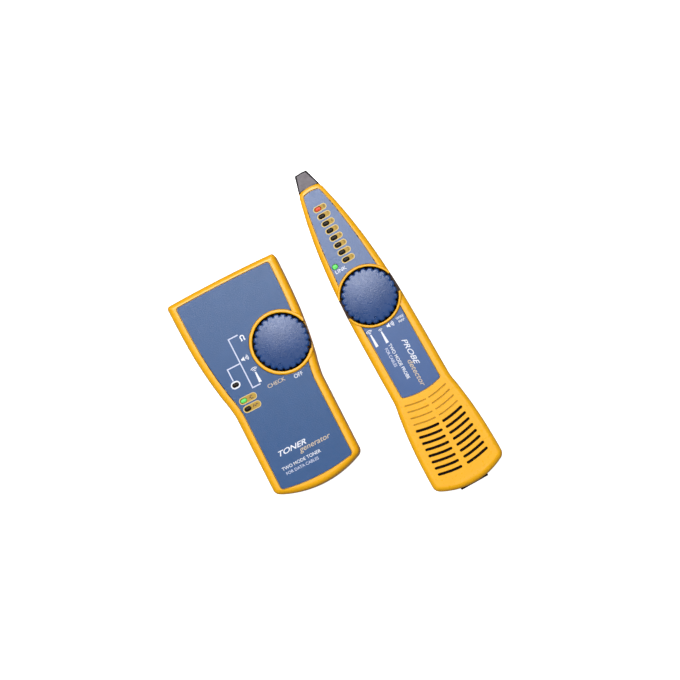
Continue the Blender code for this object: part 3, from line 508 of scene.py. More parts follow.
class Outline:
    """Plan shape with arched ends, rounded corners and curved sides."""

    def __init__(self, width, foot, head, rows=8, border=0.0, steps=10):
        self.width = width
        self.foot = foot  # (y, arch radius, corner radius)
        self.head = head
        self.border = border
        self.steps = steps
        y0, y1 = self.end_points(foot, 0, -1)[-1][1], self.end_points(head, 0, 1)[-1][1]
        knots = [y for y, _ in width]
        levels = [a + (b - a) * i / rows for a, b in zip(knots, knots[1:]) for i in range(rows)] + knots[-1:]
        self.shares = [(y - y0) / (y1 - y0) for y in levels if y0 + 1 < y < y1 - 1]

    def end_points(self, end, inset, way):
        """Centre point of one end, then its arch and its corner; way is +1 at the head."""
        y, arch, corner = end[0] - way * inset, end[1] - inset, max(end[2] - inset, 0.4)
        side = curve_through(self.width, end[0] - way * end[2]) - self.border - inset
        lean = math.asin((side - corner) / (arch - corner))
        points = []
        for i in range(self.steps + 1):
            angle = lean * i / self.steps
            points.append((arch * math.sin(angle), y - way * arch * (1 - math.cos(angle))))
        centre = ((arch - corner) * math.sin(lean), y - way * (arch - (arch - corner) * math.cos(lean)))
        for i in range(1, self.steps + 1):
            angle = lean + (math.pi / 2 - lean) * i / self.steps
            points.append((centre[0] + corner * math.sin(angle), centre[1] + way * corner * math.cos(angle)))
        return points

    def loop(self, inset, z):
        low = self.end_points(self.foot, inset, -1)
        high = self.end_points(self.head, inset, 1)
        y0, y1 = low[-1][1], high[-1][1]
        levels = [y0 + (y1 - y0) * share for share in self.shares]
        side = [(curve_through(self.width, y) - self.border - inset, y) for y in levels]
        right = low + side + high[::-1]
        left = [(-x, y) for x, y in right[-2:0:-1]]
        return [(x, y, z) for x, y in right + left]

    def prism(self, z0, z1, inset=0.0):
        return Shape().loft([self.loop(inset, z0), self.loop(inset, z1)], strips=True)


def settle(target):
    """Applies the modifiers on an object."""
    graph = bpy.context.evaluated_depsgraph_get()
    mesh = bpy.data.meshes.new_from_object(target.evaluated_get(graph))
    target.modifiers.clear()
    old = target.data
    target.data = mesh
    bpy.data.meshes.remove(old)
    return target


def combine(target, other, operation="DIFFERENCE"):
    """Boolean with a shape or another object, which is used up."""
    if isinstance(other, Shape):
        other = other.item("tool")
    modifier = target.modifiers.new(operation, "BOOLEAN")
    modifier.operation = operation
    modifier.solver = "EXACT"
    modifier.object = other
    settle(target)
    mesh = other.data
    bpy.data.objects.remove(other)
    bpy.data.meshes.remove(mesh)
    return target


def round_edges(target, width):
    modifier = target.modifiers.new("rounded", "BEVEL")
    modifier.width = width
    modifier.segments = 3
    modifier.limit_method = "ANGLE"
    modifier.angle_limit = math.radians(40)
    return settle(target)


class Unit:
    """An instrument's own frame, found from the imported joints."""

    def __init__(self, name, knob_at, face, label_slot):
        joints = {joint["name"]: joint for joint in frame["joints"]}
        along = -Vector(joints[f"{name}_door_slide"]["axis"])
        turn = Matrix.Rotation(math.atan2(-along.x, along.y), 4, "Z")
        hub = Vector((*joints[f"{name}_selector"]["pos_m"][:2], 0))
        at = hub - turn @ Vector((knob_at[0] * MM, knob_at[1] * MM, 0))
        self.name = name
        self.knob = knob_at
        self.face = face  # height of the rim
        self.label_slot = label_slot
        self.matrix = Matrix.Translation(at) @ turn @ Matrix.Scale(MM, 4)

    def finish(self, item, look, slot, body="case", stands_for=(), sharp=38):
        """Carries an object into the row frame and gives it its looks and its body; its slot is not used."""
        item.data.transform(self.matrix)
        if len(item.data.materials) == 0:
            give_looks(item, (look,))
        item.data.shade_smooth()
        item.data.set_sharp_from_angle(angle=math.radians(sharp))
        weighted = item.modifiers.new("even_shading", "WEIGHTED_NORMAL")
        weighted.keep_sharp = True
        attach(item, f"{self.name}_{body}")
        if stands_for:
            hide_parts(*stands_for)
        return item


# --- Shapes shared by the two instruments ---

def level(_y, z):
    return z


def taper(y, z):
    """The probe gets thinner towards its tip while its face stays flat."""
    share = min(max((y - TAPER_FROM) / (TAPER_TO - TAPER_FROM), 0), 1)
    depth = 1 - (1 - TAPER_LEFT) * share ** TAPER_POWER
    return PROBE_FACE - (PROBE_FACE - z) * depth


def front_shell(outline, face):
    """Open-backed moulding: cavity ceiling, cavity walls, parting edge, side walls, rounded edge, face."""
    loops = [outline.loop(WALL, face - CEILING_DEPTH), outline.loop(WALL, PARTING)]
    loops += [outline.loop(SEAM * drop, PARTING + SEAM * inset) for inset, drop in quarter(3)]
    loops += [outline.loop(RIM_ROUND * inset, face - RIM_ROUND * drop) for inset, drop in quarter()]
    return Shape().loft(loops, strips=True)


def back_shell(outline):
    """Open-fronted moulding with a flat back."""
    top = PARTING - GAP
    loops = [outline.loop(WALL, WALL), outline.loop(WALL, top)]
    loops += [outline.loop(SEAM * drop, top - SEAM * inset) for inset, drop in quarter(3)]
    loops += [outline.loop(BACK_ROUND * inset, BACK_ROUND * drop) for inset, drop in quarter()]
    return Shape().loft(loops, strips=True)


def label_recess(label, face):
    """Cutter for a label's recess, flaring at its top so that the border's inner edge comes out round."""
    loops = [label.loop(-GAP, face - LABEL_DEPTH)]
    loops += [label.loop(-GAP - BORDER_ROUND * inset, face - BORDER_ROUND * drop)
              for inset, drop in quarter(5)]
    loops.append(label.loop(-GAP - BORDER_ROUND, face + 4))
    return Shape().loft(loops, strips=True)


def knob_well(at, face, bezel):
    """Cup that the knob turns in, with the rounded bezel round its mouth."""
    floor = face - WELL_FLOOR
    top = face + BEZEL_RISE
    hole = SHAFT_RADIUS + 0.4
    inner, outer = 0.7, 0.9          # roundings of the bezel's two edges
    profile = [(bezel, floor - 2), (hole, floor - 2), (hole, floor), (WELL_RADIUS, floor)]
    profile += [(WELL_RADIUS + inner * inset, top - inner * drop) for inset, drop in quarter()]
    profile += [(bezel - outer * inset, top - outer * drop) for inset, drop in quarter()[::-1]]
    return Shape().turned(profile, at, ring=True).item("well")


def front_moulding(unit, outline, labels, bezel, warp):
    """Front shell with its label recesses and, joined to it, the knob's well."""
    front = front_shell(outline, unit.face).item(f"{unit.name}_front_moulding", warp)
    for label in labels:
        combine(front, label_recess(label, unit.face))
    room_radius = (WELL_RADIUS + bezel) / 2
    combine(front, Shape().rod(unit.knob, room_radius, unit.face - WELL_FLOOR - 1, ABOVE, TURN_SIDES))
    well = knob_well(unit.knob, unit.face, bezel)
    combine(well, outline.prism(5, ABOVE, inset=0.05), "INTERSECT")
    return combine(front, well, "UNION")


def shade_hollows(unit, front, labels):
    """Painted shade: dark colour inside the well, from just under its lip down, and in the narrow gap round
    the labels, standing in for the shadow that falls there.
    """
    give_looks(front, CASE_LOOKS)
    lip = BEZEL_RISE - 0.6
    beyond = 2                       # the gap runs this far past a label's ends
    for polygon in front.data.polygons:
        (x, y, z), normal = polygon.center, polygon.normal
        depth = z - unit.face
        well = math.dist((x, y), unit.knob) < WELL_RADIUS + 0.05 and -WELL_FLOOR - 0.1 < depth < lip
        turned_in = normal.z < WALL_TILT and normal.x * x + normal.y * y < 0
        beside = any(label.foot[0] - beyond < y < label.head[0] + beyond for label in labels)
        gap = beside and -LABEL_DEPTH < depth < -SKIN and (normal.z > FLAT or turned_in)
        # painted shade on the well's inside and in the label gap
        polygon.material_index = CASE_LOOKS.index("well") if well or gap else 0


def flute_cut(share):
    """Depth of a round-bottomed flute, at a share of the pitch away from a lobe's middle."""
    pitch = math.tau * KNOB_RADIUS / KNOB_FLUTES
    across = (0.5 - abs(share)) * pitch / FLUTE_HALF
    return FLUTE_DEPTH * math.sqrt(max(1 - across ** 2, 0))


def knob_loop(radius, z, fade):
    """One level of the knob: its lobes and flutes, faded out towards the middle of the dome."""
    shares = (-0.5, -0.455, -0.40, -0.345, -0.305, -0.27, -0.14, 0, 0.14, 0.27, 0.305, 0.345, 0.40, 0.455)
    points = []
    for flute in range(KNOB_FLUTES):
        for share in shares:
            angle = math.tau * (flute + share) / KNOB_FLUTES
            reach = radius - fade * flute_cut(share)
            points.append((reach * math.cos(angle), reach * math.sin(angle), z))
    return points


def knob_profile(face, shaft_end):
    """(radius, z) from the shaft's lower end round the skirt to the middle of the dome."""
    under = face - KNOB_UNDERSIDE
    top = face + KNOB_RISE
    edge = KNOB_RADIUS - KNOB_SHOULDER
    profile = [(0.4, shaft_end), (SHAFT_RADIUS - 0.3, shaft_end), (SHAFT_RADIUS, shaft_end + 0.3)]
    profile += [(SHAFT_RADIUS, under), (KNOB_RADIUS - 2.4, under), (KNOB_RADIUS - 0.4, under)]
    profile += [(KNOB_RADIUS, under + 0.4)]
    crown = top - KNOB_CROWN
    profile += [(KNOB_RADIUS - KNOB_SHOULDER * inset, crown - KNOB_SHOULDER * drop)
                for inset, drop in quarter(6)]
    for share in (0.985, 0.96, 0.93, 0.89, 0.85, 0.75, 0.6, 0.45, 0.3, 0.15, 0.03):
        profile.append((edge * share, crown + KNOB_CROWN * (1 - share ** 2)))
    return profile


def knob(unit, shaft_end, pointer):
    """Fluted cap with a shallow dome, a pointer dimple and a shaft."""
    at, face = unit.knob, unit.face
    name = f"{unit.name}_knob"
    loops = []
    for radius, z in knob_profile(face, shaft_end):
        fade = min(max((radius - KNOB_RADIUS + 2.6) / 2.0, 0), 1)
        smooth = fade * fade * (3 - 2 * fade)
        loops.append([(at[0] + x, at[1] + y, pz) for x, y, pz in knob_loop(radius, z, smooth)])
    cap = Shape().loft(loops).item(f"{name}_cap")
    angle = math.radians(pointer)
    spot = (at[0] + POINTER_RADIUS * math.cos(angle), at[1] + POINTER_RADIUS * math.sin(angle))
    crown = face + KNOB_RISE - KNOB_CROWN * (POINTER_RADIUS / KNOB_RADIUS) ** 2
    bowl, foot = 0.9, crown - 0.75
    dimple = [(bowl * math.sin(a), foot + bowl * (1 - math.cos(a))) for a in
              (math.pi / 2 * i / 6 for i in range(7))]
    dimple[0] = (0.02, foot)
    dimple.append((bowl, crown + 3))
    combine(cap, Shape().turned(dimple, spot, 32))
    unit.finish(cap, "knob", "knob_blue", "dial", (name,), sharp=50)


def lens(unit, node, at, look, length=4.0, width=2.3):
    """Indicator lens in its window: straight sides, softly domed top."""
    top = unit.face - LABEL_SUNK + 0.2
    bevel, crown = 0.9, 0.12
    loops = [[(x, y, top - 4) for x, y in stadium(at, length, width)]]
    for inset, drop in quarter(5):
        outline = stadium(at, length - bevel * inset, width - bevel * inset)
        loops.append([(x, y, top - crown - bevel / 2 * drop) for x, y in outline])
    loops.append([(x, y, top) for x, y in stadium(at, length - width + 0.5, 0.5)])
    item = Shape().loft(loops).item(f"{node}_cast")
    unit.finish(item, look, f"{look}_lens", stands_for=(node,))


def label_plate(unit, name, label, bezel, windows, look):
    """Face label, cut round the bezel and the indicator windows."""
    top = unit.face - LABEL_SUNK
    edge = 0.08
    loops = [label.loop(0, top - LABEL_THICK), label.loop(0, top - edge), label.loop(edge, top)]
    plate = Shape().loft(loops, strips=True).item(f"{name}_film")
    combine(plate, Shape().rod(unit.knob, bezel + GAP, top - 2, top + 2, TURN_SIDES))
    if windows:
        cuts = Shape()
        for at, size in windows:
            cuts.prism(stadium(at, *size), top - 2, top + 2)
        combine(plate, cuts)
    unit.finish(plate, look, unit.label_slot, stands_for=(name,))


def jack(unit, name, x, opening_y, z, size, socket, way, pins, flange=0.0):
    """Modular jack housing and its row of sprung contacts; way is the direction its socket faces along y."""
    width, depth, height = size
    ends = sorted((opening_y, opening_y - way * depth))
    housing = Shape().box((x - width / 2, ends[0], z), (x + width / 2, ends[1], z + height))
    housing = housing.item(f"{name}_housing")
    if flange:
        lip = sorted((opening_y, opening_y - way * FLANGE_DEPTH))
        brim = Shape().box((x - width / 2 - flange, lip[0], z - flange),
                           (x + width / 2 + flange, lip[1], z + height + flange))
        combine(housing, brim, "UNION")
    round_edges(housing, 0.35)
    mouth = [opening_y + way, opening_y - way * socket[1]]
    low = z + (height - socket[2]) / 2
    notch, step = 6.0, 1.8
    half, roof = socket[0] / 2, socket[2] - step
    section = ((-half, 0), (-half, roof), (-notch / 2, roof), (-notch / 2, socket[2]), (notch / 2, socket[2]),
               (notch / 2, roof), (half, roof), (half, 0))
    hollow = Shape().loft([[(x + px, y, low + pz) for px, pz in section] for y in mouth])
    combine(housing, hollow)
    unit.finish(housing, "black", "black_plastic", stands_for=(name,))
    contacts = Shape()
    back = opening_y - way * (socket[1] + 0.5)
    front = opening_y - way * CONTACT_INSET
    thick, foot, crest = 0.35, low + 0.6, low + 2.6
    for pin in range(pins):
        at = x + (pin - (pins - 1) / 2) * PIN_PITCH
        spring = [(back, foot), (front, crest), (front, crest + thick), (back, foot + thick)]
        contacts.loft([[(at + side * thick / 2, y, pz) for y, pz in spring] for side in (-1, 1)])
    unit.finish(contacts.item(f"{name}_contacts"), "gold", "brass")


def case_screws(unit, places, warp):
    """Pan-head screws with cross recesses, driven in from the back."""
    for index, at in enumerate(places, 1):
        seat = warp(at[1], SCREW_SEAT)
        head, pan = SCREW_HEAD, 0.9   # the head's rim is as high as its rounding
        profile = [(0.02, seat + 14), (1.0, seat + 13.2), (1.0, seat), (head, seat), (head, seat - pan)]
        profile += [(head - pan * inset, seat - pan - pan * (1 - drop)) for inset, drop in quarter(6)]
        profile.append((0.02, seat - 2 * pan))
        screw = Shape().turned(profile, at, SCREW_SIDES).item(f"{unit.name}_screw_{index}")
        arm, half = 1.5, 0.35
        cross = [(arm, -half), (arm, half), (half, half), (half, arm), (-half, arm), (-half, half),
                 (-arm, half), (-arm, -half), (-half, -half), (-half, -arm), (half, -arm), (half, -half)]
        recess = Shape().prism([(at[0] + x, at[1] + y) for x, y in cross], seat - 3, seat - 0.7)
        combine(screw, recess)
        unit.finish(screw, "steel", "steel", stands_for=(f"{unit.name}_case_screw_{index}",))


def screw_passages(shape, places, warp):
    for at in places:
        seat = warp(at[1], SCREW_SEAT)
        head, shank = SCREW_HEAD + GAP, 1.35
        steps = ((head, -2), (head, seat), (shank, seat + 0.01), (shank, warp(at[1], PARTING) + 2))
        shape.turned(steps, at, SCREW_SIDES)


def back_moulding(unit, outline, screws, warp, door_room, foot):
    """Back shell with the pillars that its screws pass through, and the cutter for its openings so far."""
    back = back_shell(outline).item(f"{unit.name}_back_moulding", warp)
    pillars = Shape()
    for at in screws:
        pillars.rod(at, 3.3, warp(at[1], WALL) - 0.6, warp(at[1], PARTING - GAP) - 0.2)
    combine(back, pillars, "UNION")
    half_width, upper_end, top = door_room
    openings = Shape().box((-half_width, foot, -3), (half_width, upper_end, top))
    screw_passages(openings, screws, warp)
    return back, openings


def battery_door(unit, shell, door_size):
    """Sliding cover cut from the back moulding, with curved finger grips near its upper end."""
    half_width, upper_end, top = door_size
    door = shell.item(f"{unit.name}_battery_cover")
    combine(door, Shape().box((-half_width, -130, GAP), (half_width, upper_end, top)), "INTERSECT")
    grips = Shape()
    for row in range(DOOR_GRIPS):
        y = upper_end - 5 - row * GRIP_PITCH
        for side in (-1, 1):
            outline = smile(side * 0.8, side * 8.0, y, 1.2, 0.9)
            grips.prism(outline, -1, GAP + 0.45)
    combine(door, grips)
    unit.finish(door, "yellow", "yellow_plastic", "door", (f"{unit.name}_battery_door",))


# --- Printed graphics ---

class Print:
    """Flat ink shapes lying on one label."""

    def __init__(self, unit, lift=0.0):
        self.unit = unit
        self.low = unit.face + lift - LABEL_SUNK - INK_UNDER
        self.high = unit.face + lift - LABEL_SUNK + INK_OVER
        self.shape = Shape()
        self.holes = []

    def polygon(self, points):
        self.shape.prism(points, self.low, self.high)
        return self

    def line(self, points, width):
        """Stroke along a path whose corners are mitred."""
        path = [Vector(point) for point in points]
        sides = [[], []]
        for i, point in enumerate(path):
            before = (point - path[i - 1]).normalized() if i else (path[1] - point).normalized()
            after = (path[i + 1] - point).normalized() if i + 1 < len(path) else before
            normal = Vector((-before.y - after.y, before.x + after.x)).normalized()
            reach = width / 2 / max(normal.dot(Vector((-before.y, before.x))), 0.3)
            sides[0].append(tuple(point - normal * reach))
            sides[1].append(tuple(point + normal * reach))
        return self.polygon(sides[0] + sides[1][::-1])

    def wave(self, centre, radius, start, end, width):
        outer = arc(centre, radius + width / 2, start, end, 10)
        inner = arc(centre, radius - width / 2, end, start, 10)
        return self.polygon(outer + inner)

    def pill(self, at, length, width, hole, hole_size):
        """Rounded patch round an indicator window."""
        self.polygon(stadium(at, length, width))
        self.holes.append((hole, hole_size))
        return self

    def finish(self, name, look):
        item = self.shape.item(name)
        if self.holes:
            cutter = Shape()
            for at, (length, width) in self.holes:
                cutter.prism(stadium(at, length, width), self.low - 1, self.high + 1)
            combine(item, cutter)
        self.unit.finish(item, look, self.unit.label_slot)


def lettering(unit, name, words, at, height, look, turn=0.0, stretch=1.0, slant=0.0, weight=0.0, lift=0.0):
    """Words printed on a label, centred on a point; height is that of a capital letter."""
    curve = bpy.data.curves.new(name, "FONT")
    curve.body = words
    curve.align_x = "CENTER"
    curve.align_y = "CENTER"
    curve.size = height / 0.72
    curve.shear = slant
    curve.offset = weight
    curve.extrude = (INK_UNDER + INK_OVER) / 2
    written = placed(name, curve)
    graph = bpy.context.evaluated_depsgraph_get()
    mesh = bpy.data.meshes.new_from_object(written.evaluated_get(graph))
    bpy.data.objects.remove(written)
    middle = unit.face + lift - LABEL_SUNK + (INK_OVER - INK_UNDER) / 2
    place = Matrix.Translation((*at, middle)) @ Matrix.Rotation(math.radians(turn), 4, "Z")
    mesh.transform(place @ Matrix.Diagonal((stretch, 1, 1, 1)))
    mesh.materials.clear()
    item = placed(name, mesh)
    tidy = bmesh.new()
    tidy.from_mesh(mesh)
    bmesh.ops.remove_doubles(tidy, verts=tidy.verts, dist=0.0005)
    tidy.to_mesh(mesh)
    tidy.free()
    unit.finish(item, look, unit.label_slot)


def gold_patches(unit, spots, size):
    """Gold patches with a paler edge, one at each (centre, indicator) pair."""
    edge = 0.4
    length, width = size
    patches, rims = Print(unit), Print(unit)
    for centre, lamp in spots:
        patches.pill(centre, length - 2 * edge, width - 2 * edge, lamp, LED_WINDOW)
        rims.pill(centre, length, width, centre, (length - 2 * edge, width - 2 * edge))
    patches.finish(f"{unit.name}_gold_patches", "gold_ink")
    rims.finish(f"{unit.name}_pale_gold_rims", "pale_gold_ink")


def ohm_sign(ink, at):
    """Resistance sign: a tall arch on two small feet."""
    x, y = at
    right = [(1.5, -1.6), (0.8, -1.6), (0.85, -1.1)] + arc((0, 0.3), 1.15, -40, 90, 8)
    left = [(-px, py) for px, py in right[-2::-1]]
    ink.line([(x + px, y + py) for px, py in right + left], 0.75)


def loudspeaker(ink, at):
    """Loudspeaker sign: box, horn and three sound waves."""
    x, y = at
    ink.polygon([(x - 2.3, y - 0.65), (x - 1.4, y - 0.65), (x - 0.2, y - 1.5), (x - 0.2, y + 1.5),
                 (x - 1.4, y + 0.65), (x - 2.3, y + 0.65)])
    for radius in (1.0, 1.8, 2.6):
        ink.wave((x - 0.2, y), radius, -40, 40, 0.42)


def probe_sign(ink, x, top, length, waves):
    """Probe sign: tapered body below a fan of waves."""
    ink.polygon([(x - 0.95, top - length), (x + 0.95, top - length), (x + 0.45, top), (x - 0.45, top)])
    for radius in waves:
        ink.wave((x, top), radius, 45, 135, 0.42)


# --- Toner ---

def toner():
    unit = Unit("toner", TONER_KNOB, TONER_FACE, "blue_label")
    outline = Outline(TONER_WIDTH, foot=(-75.7, 66, 4.7), head=(TONER_HEAD_Y, 900, 2.1))
    label = Outline(TONER_WIDTH, foot=(-70.2, 120, 1.8), head=(63.2, 900, 1.8), border=TONER_BORDER)
    toner_front(unit, outline, label)
    toner_back(unit, outline)
    windows = [(at, LED_WINDOW) for at in TONER_LEDS]
    label_plate(unit, "toner_face_label", label, TONER_BEZEL, windows, "blue")
    knob(unit, TONER_BOARD_TOP + SHAFT_END, TONER_POINTER)
    for place, at, look in zip(("upper", "middle", "lower"), TONER_LEDS, ("smoke", "green", "smoke")):
        lens(unit, f"toner_{place}_lens", at, look)
    z = TONER_BOARD_TOP + GAP
    face_y = TONER_HEAD_Y - JACK_SUNK
    jack(unit, "toner_lan_jack", TONER_LAN_X, face_y, z, LAN_JACK, LAN_SOCKET, 1, LAN_PINS)
    jack(unit, "toner_phone_jack", TONER_PHONE_X, face_y, z, PHONE_JACK, PHONE_SOCKET, 1, PHONE_PINS)
    case_screws(unit, TONER_SCREWS, level)
    toner_print(unit)


def toner_front(unit, outline, label):
    front = front_moulding(unit, outline, [label], TONER_BEZEL, level)
    openings = Shape()
    x, y0, y1 = TONER_THUMB_NOTCH
    openings.box((x, y0, TONER_FACE - WELL_FLOOR), (45, y1, ABOVE))
    for at in TONER_LEDS:
        openings.prism(stadium(at, *LED_WINDOW), TONER_FACE - 5, TONER_FACE + 4)
    toner_jack_windows(openings)
    combine(front, openings)
    shade_hollows(unit, front, [label])
    unit.finish(front, "yellow", "yellow_plastic", stands_for=("toner_front_case",))


def toner_jack_windows(shape):
    """Openings in the head for the two jacks; they cross the parting line."""
    z = TONER_BOARD_TOP + GAP
    for x, size in ((TONER_LAN_X, LAN_JACK), (TONER_PHONE_X, PHONE_JACK)):
        reach = size[0] / 2 + GAP
        shape.box((x - reach, 55, z - GAP), (x + reach, 75, z + size[2] + GAP))


def toner_back(unit, outline):
    back, openings = back_moulding(unit, outline, TONER_SCREWS, level, TONER_DOOR_ROOM, -90)
    toner_jack_windows(openings)
    combine(back, openings)
    unit.finish(back, "yellow", "yellow_plastic", stands_for=("toner_back_case",))
    battery_door(unit, back_shell(outline), TONER_DOOR)


def toner_print(unit):
    """Graphics of the toner's label, with plain words where the real one carries names."""
    lines = Print(unit)
    width = 0.8
    spine, left = -12.0, -21.0
    lines.line([(-6.5, -3.0), (spine, -3.0), (spine, 30.5), (-5.5, 30.5)], width)
    lines.line([(spine - width / 2, 14.0), (left, 14.0), (left, 6.0)], width)
    lines.finish("toner_bracket_print", "lavender_ink")

    signs = Print(unit)
    ohm_sign(signs, (-3.7, 27.8))
    loudspeaker(signs, (-8.2, 15.5))
    probe_sign(signs, -6.0, 5.0, 7.0, (1.0, 2.0, 3.0))
    signs.pill(TONER_LEDS[0], 6.2, 4.8, TONER_LEDS[0], LED_WINDOW)
    signs.finish("toner_white_signs", "white_ink")

    spots = [((at[0] + 3.0, at[1]), at) for at in TONER_LEDS[1:]]
    gold_patches(unit, spots, (12.0, 4.6))
    symbols = Print(unit, INK_OVER)
    x, y = TONER_LEDS[1]
    symbols.line([(x + 3.6, y), (x + 4.8, y), (x + 4.8, y + 0.9), (x + 6.4, y + 0.9)], 0.5)
    symbols.line([(x + 4.8, y - 0.25), (x + 4.8, y - 0.9), (x + 6.4, y - 0.9)], 0.5)
    x, y = TONER_LEDS[2]
    symbols.line([(x + 3.4, y - 0.6), (x + 4.4, y + 0.7), (x + 5.2, y - 0.5), (x + 6.2, y + 0.7),
                  (x + 7.2, y)], 0.5)
    symbols.finish("toner_brown_symbols", "brown_ink")

    for name, words, at, height, look, slant, weight, stretch in (
            ("off", "OFF", (17.0, -8.9), 2.6, "white_ink", 0.0, 0.02, 0.95),
            ("test", "CHECK", (2.5, -7.0), 2.5, "tan_ink", 0.0, 0.02, 1.05),
            ("type", "TWO MODE TONER", (-5.5, -57.0), 2.1, "white_ink", 0.0, 0.02, 1.0),
            ("use", "FOR DATA CABLES", (-6.5, -60.5), 1.9, "lavender_ink", 0.0, 0.02, 1.0),
            ("large", "TONER", (-7.8, -47.6), 3.3, "white_ink", 0.35, 0.06, 1.3),
            ("second", "generator", (6.6, -51.0), 3.4, "tan_ink", 0.25, 0.03, 1.1)):
        lettering(unit, f"toner_word_{name}", words, at, height, look, stretch=stretch, slant=slant,
                  weight=weight)


# --- Probe ---

def probe():
    unit = Unit("probe", PROBE_KNOB, PROBE_FACE, "pale_blue_label")
    outline = Outline(PROBE_WIDTH, foot=(-107.3, 46.5, 5.0), head=(HEAD_Y, HEAD_ARCH, 1.2))
    upper = Outline(UPPER_LABEL_WIDTH, foot=(34, 90, 1), head=(100.3, 16, 1.2))
    lower = Outline(LOWER_LABEL_WIDTH, foot=(-42, 44, 1.4), head=(17, 90, 1))
    probe_front(unit, outline, upper, lower)
    probe_back(unit, outline)
    label_plate(unit, "probe_upper_label", upper, PROBE_BEZEL, probe_windows(), "pale_blue")
    label_plate(unit, "probe_lower_label", lower, PROBE_BEZEL, [], "mid_blue")
    knob(unit, PROBE_BOARD_TOP + SHAFT_END, PROBE_POINTER)
    for index, at in enumerate(probe_leds()):
        lens(unit, f"probe_signal_lens_{8 - index}", at, "smoke" if index else "red")
    lens(unit, "probe_sync_lens", PROBE_SYNC, "green", 3.6, 3.0)
    probe_tip(unit)
    jack(unit, "probe_lan_jack", 0, PROBE_JACK_OUT, PROBE_JACK_Z, LAN_JACK, LAN_SOCKET, -1, LAN_PINS,
         flange=1.5)
    case_screws(unit, PROBE_SCREWS, taper)
    probe_print(unit)


def probe_leds():
    """Places of the eight signal indicators, from the tip down."""
    return [(PROBE_LED_X, PROBE_LED_TOP - index * PROBE_LED_PITCH) for index in range(8)]


def probe_windows():
    """(place, size) of each window in the probe's upper label."""
    return [(at, LED_WINDOW) for at in probe_leds()] + [(PROBE_SYNC, SYNC_WINDOW)]


def probe_jack_room(inner_end):
    """Corners of the jack's opening in the butt."""
    half_width, beyond, margin = 11, -115, 2
    return ((-half_width, beyond, PROBE_JACK_Z - margin),
            (half_width, inner_end, PROBE_JACK_Z + LAN_JACK[2] + margin))


def grille_rows(count, first_y, inner, outer):
    """(near, far, y) of each slot in a block; inner and outer give (first, last) x."""
    for row in range(count):
        share = row / (count - 1)
        near = inner[0] + (inner[1] - inner[0]) * share
        far = outer[0] + (outer[1] - outer[0]) * share
        for side in (-1, 1):
            yield side * near, side * far, first_y - row * GRILLE_PITCH


def probe_front(unit, outline, upper, lower):
    front = front_moulding(unit, outline, [upper, lower], PROBE_BEZEL, taper)
    openings = Shape()
    for side in (-1, 1):
        low, high = sorted((side * PROBE_THUMB_NOTCH, side * 30))
        openings.box((low, PROBE_KNOB[1] - PROBE_NOTCH_HALF, PROBE_FACE - WELL_FLOOR),
                     (high, PROBE_KNOB[1] + PROBE_NOTCH_HALF, ABOVE))
    for at, size in probe_windows():
        openings.prism(stadium(at, *size), PROBE_FACE - 6, PROBE_FACE + 4)
    openings.box(*probe_jack_room(-90))
    openings.rod_along_y(0, PICKUP_Z, PICKUP_RADIUS + 0.4, *PICKUP_BORE)
    combine(front, openings)
    slots = Shape()
    narrow, wide = GRILLE_SLOT_WIDTH, GRILLE_SLOT_WIDTH + 2 * GRILLE_FLARE
    slot_levels = ((narrow, 20), (narrow, PROBE_FACE - GRILLE_FLARE), (wide, PROBE_FACE + 0.02), (wide, 40))
    groove_levels = ((GROOVE_FOOT, PROBE_FACE - GROOVE_DEPTH), (GROOVE_MOUTH, PROBE_FACE + 0.02),
                     (GROOVE_MOUTH, 40))
    for count, first_y, inner, outer, levels in (
            (GRILLE_SLOTS, GRILLE_SLOT_Y, (2.0, 2.6), (15.6, 16.8), slot_levels),
            (GRILLE_GROOVES, GRILLE_GROOVE_Y, (1.3, 1.6), (14.3, 15.3), groove_levels)):
        for near, far, y in grille_rows(count, first_y, inner, outer):
            slots.loft([[(px, py, z) for px, py in smile(near, far, y, GRILLE_RISE, width)]
                        for width, z in levels])
    combine(front, slots)
    shade_hollows(unit, front, [upper, lower])
    shade_grooves(front, lower)
    unit.finish(front, "yellow", "yellow_plastic", stands_for=("probe_front_case",))


def shade_grooves(front, lower):
    """Painted shade: darker colour inside the grooves between the grille's slots and the lower label,
    standing in for the shadow that falls there.
    """
    for polygon in front.data.polygons:
        x, y, z = polygon.center
        among = abs(x) < 16 and GRILLE_SLOT_Y + 2 < y < lower.foot[0] - 1
        if among and -GROOVE_DEPTH - 0.1 < z - PROBE_FACE < -SKIN:
            # painted shade in the groove
            polygon.material_index = CASE_LOOKS.index("groove")


def probe_back(unit, outline):
    back, openings = back_moulding(unit, outline, PROBE_SCREWS, taper, PROBE_DOOR_ROOM, -115)
    openings.rod_along_y(0, PICKUP_Z, PICKUP_RADIUS + 0.4, *PICKUP_BORE)
    combine(back, openings)
    combine(back, Shape().box(*probe_jack_room(-96)))
    unit.finish(back, "yellow", "yellow_plastic", stands_for=("probe_back_case",))
    battery_door(unit, back_shell(outline), PROBE_DOOR)


def tip_loop(inset, z):
    """Plan of the tip: hollow arc round the case's head, straight sides, small corners at the end."""
    radius = HEAD_ARCH + GAP
    centre = (0, HEAD_Y - HEAD_ARCH)
    root = math.asin((TIP_ROOT - inset) / radius)
    right = []
    for i in range(13):
        angle = root * i / 12
        right.append((centre[0] + radius * math.sin(angle), centre[1] + radius * math.cos(angle)))
    corner = 0.5
    crown = 0.2
    right += arc((TIP_END - inset - corner, TAPER_TO - inset - corner - crown), corner, 5, 90, 8)
    right.append((0, TAPER_TO - inset))
    left = [(-x, y) for x, y in right[-2:0:-1]]
    return [(x, y, z) for x, y in right + left]


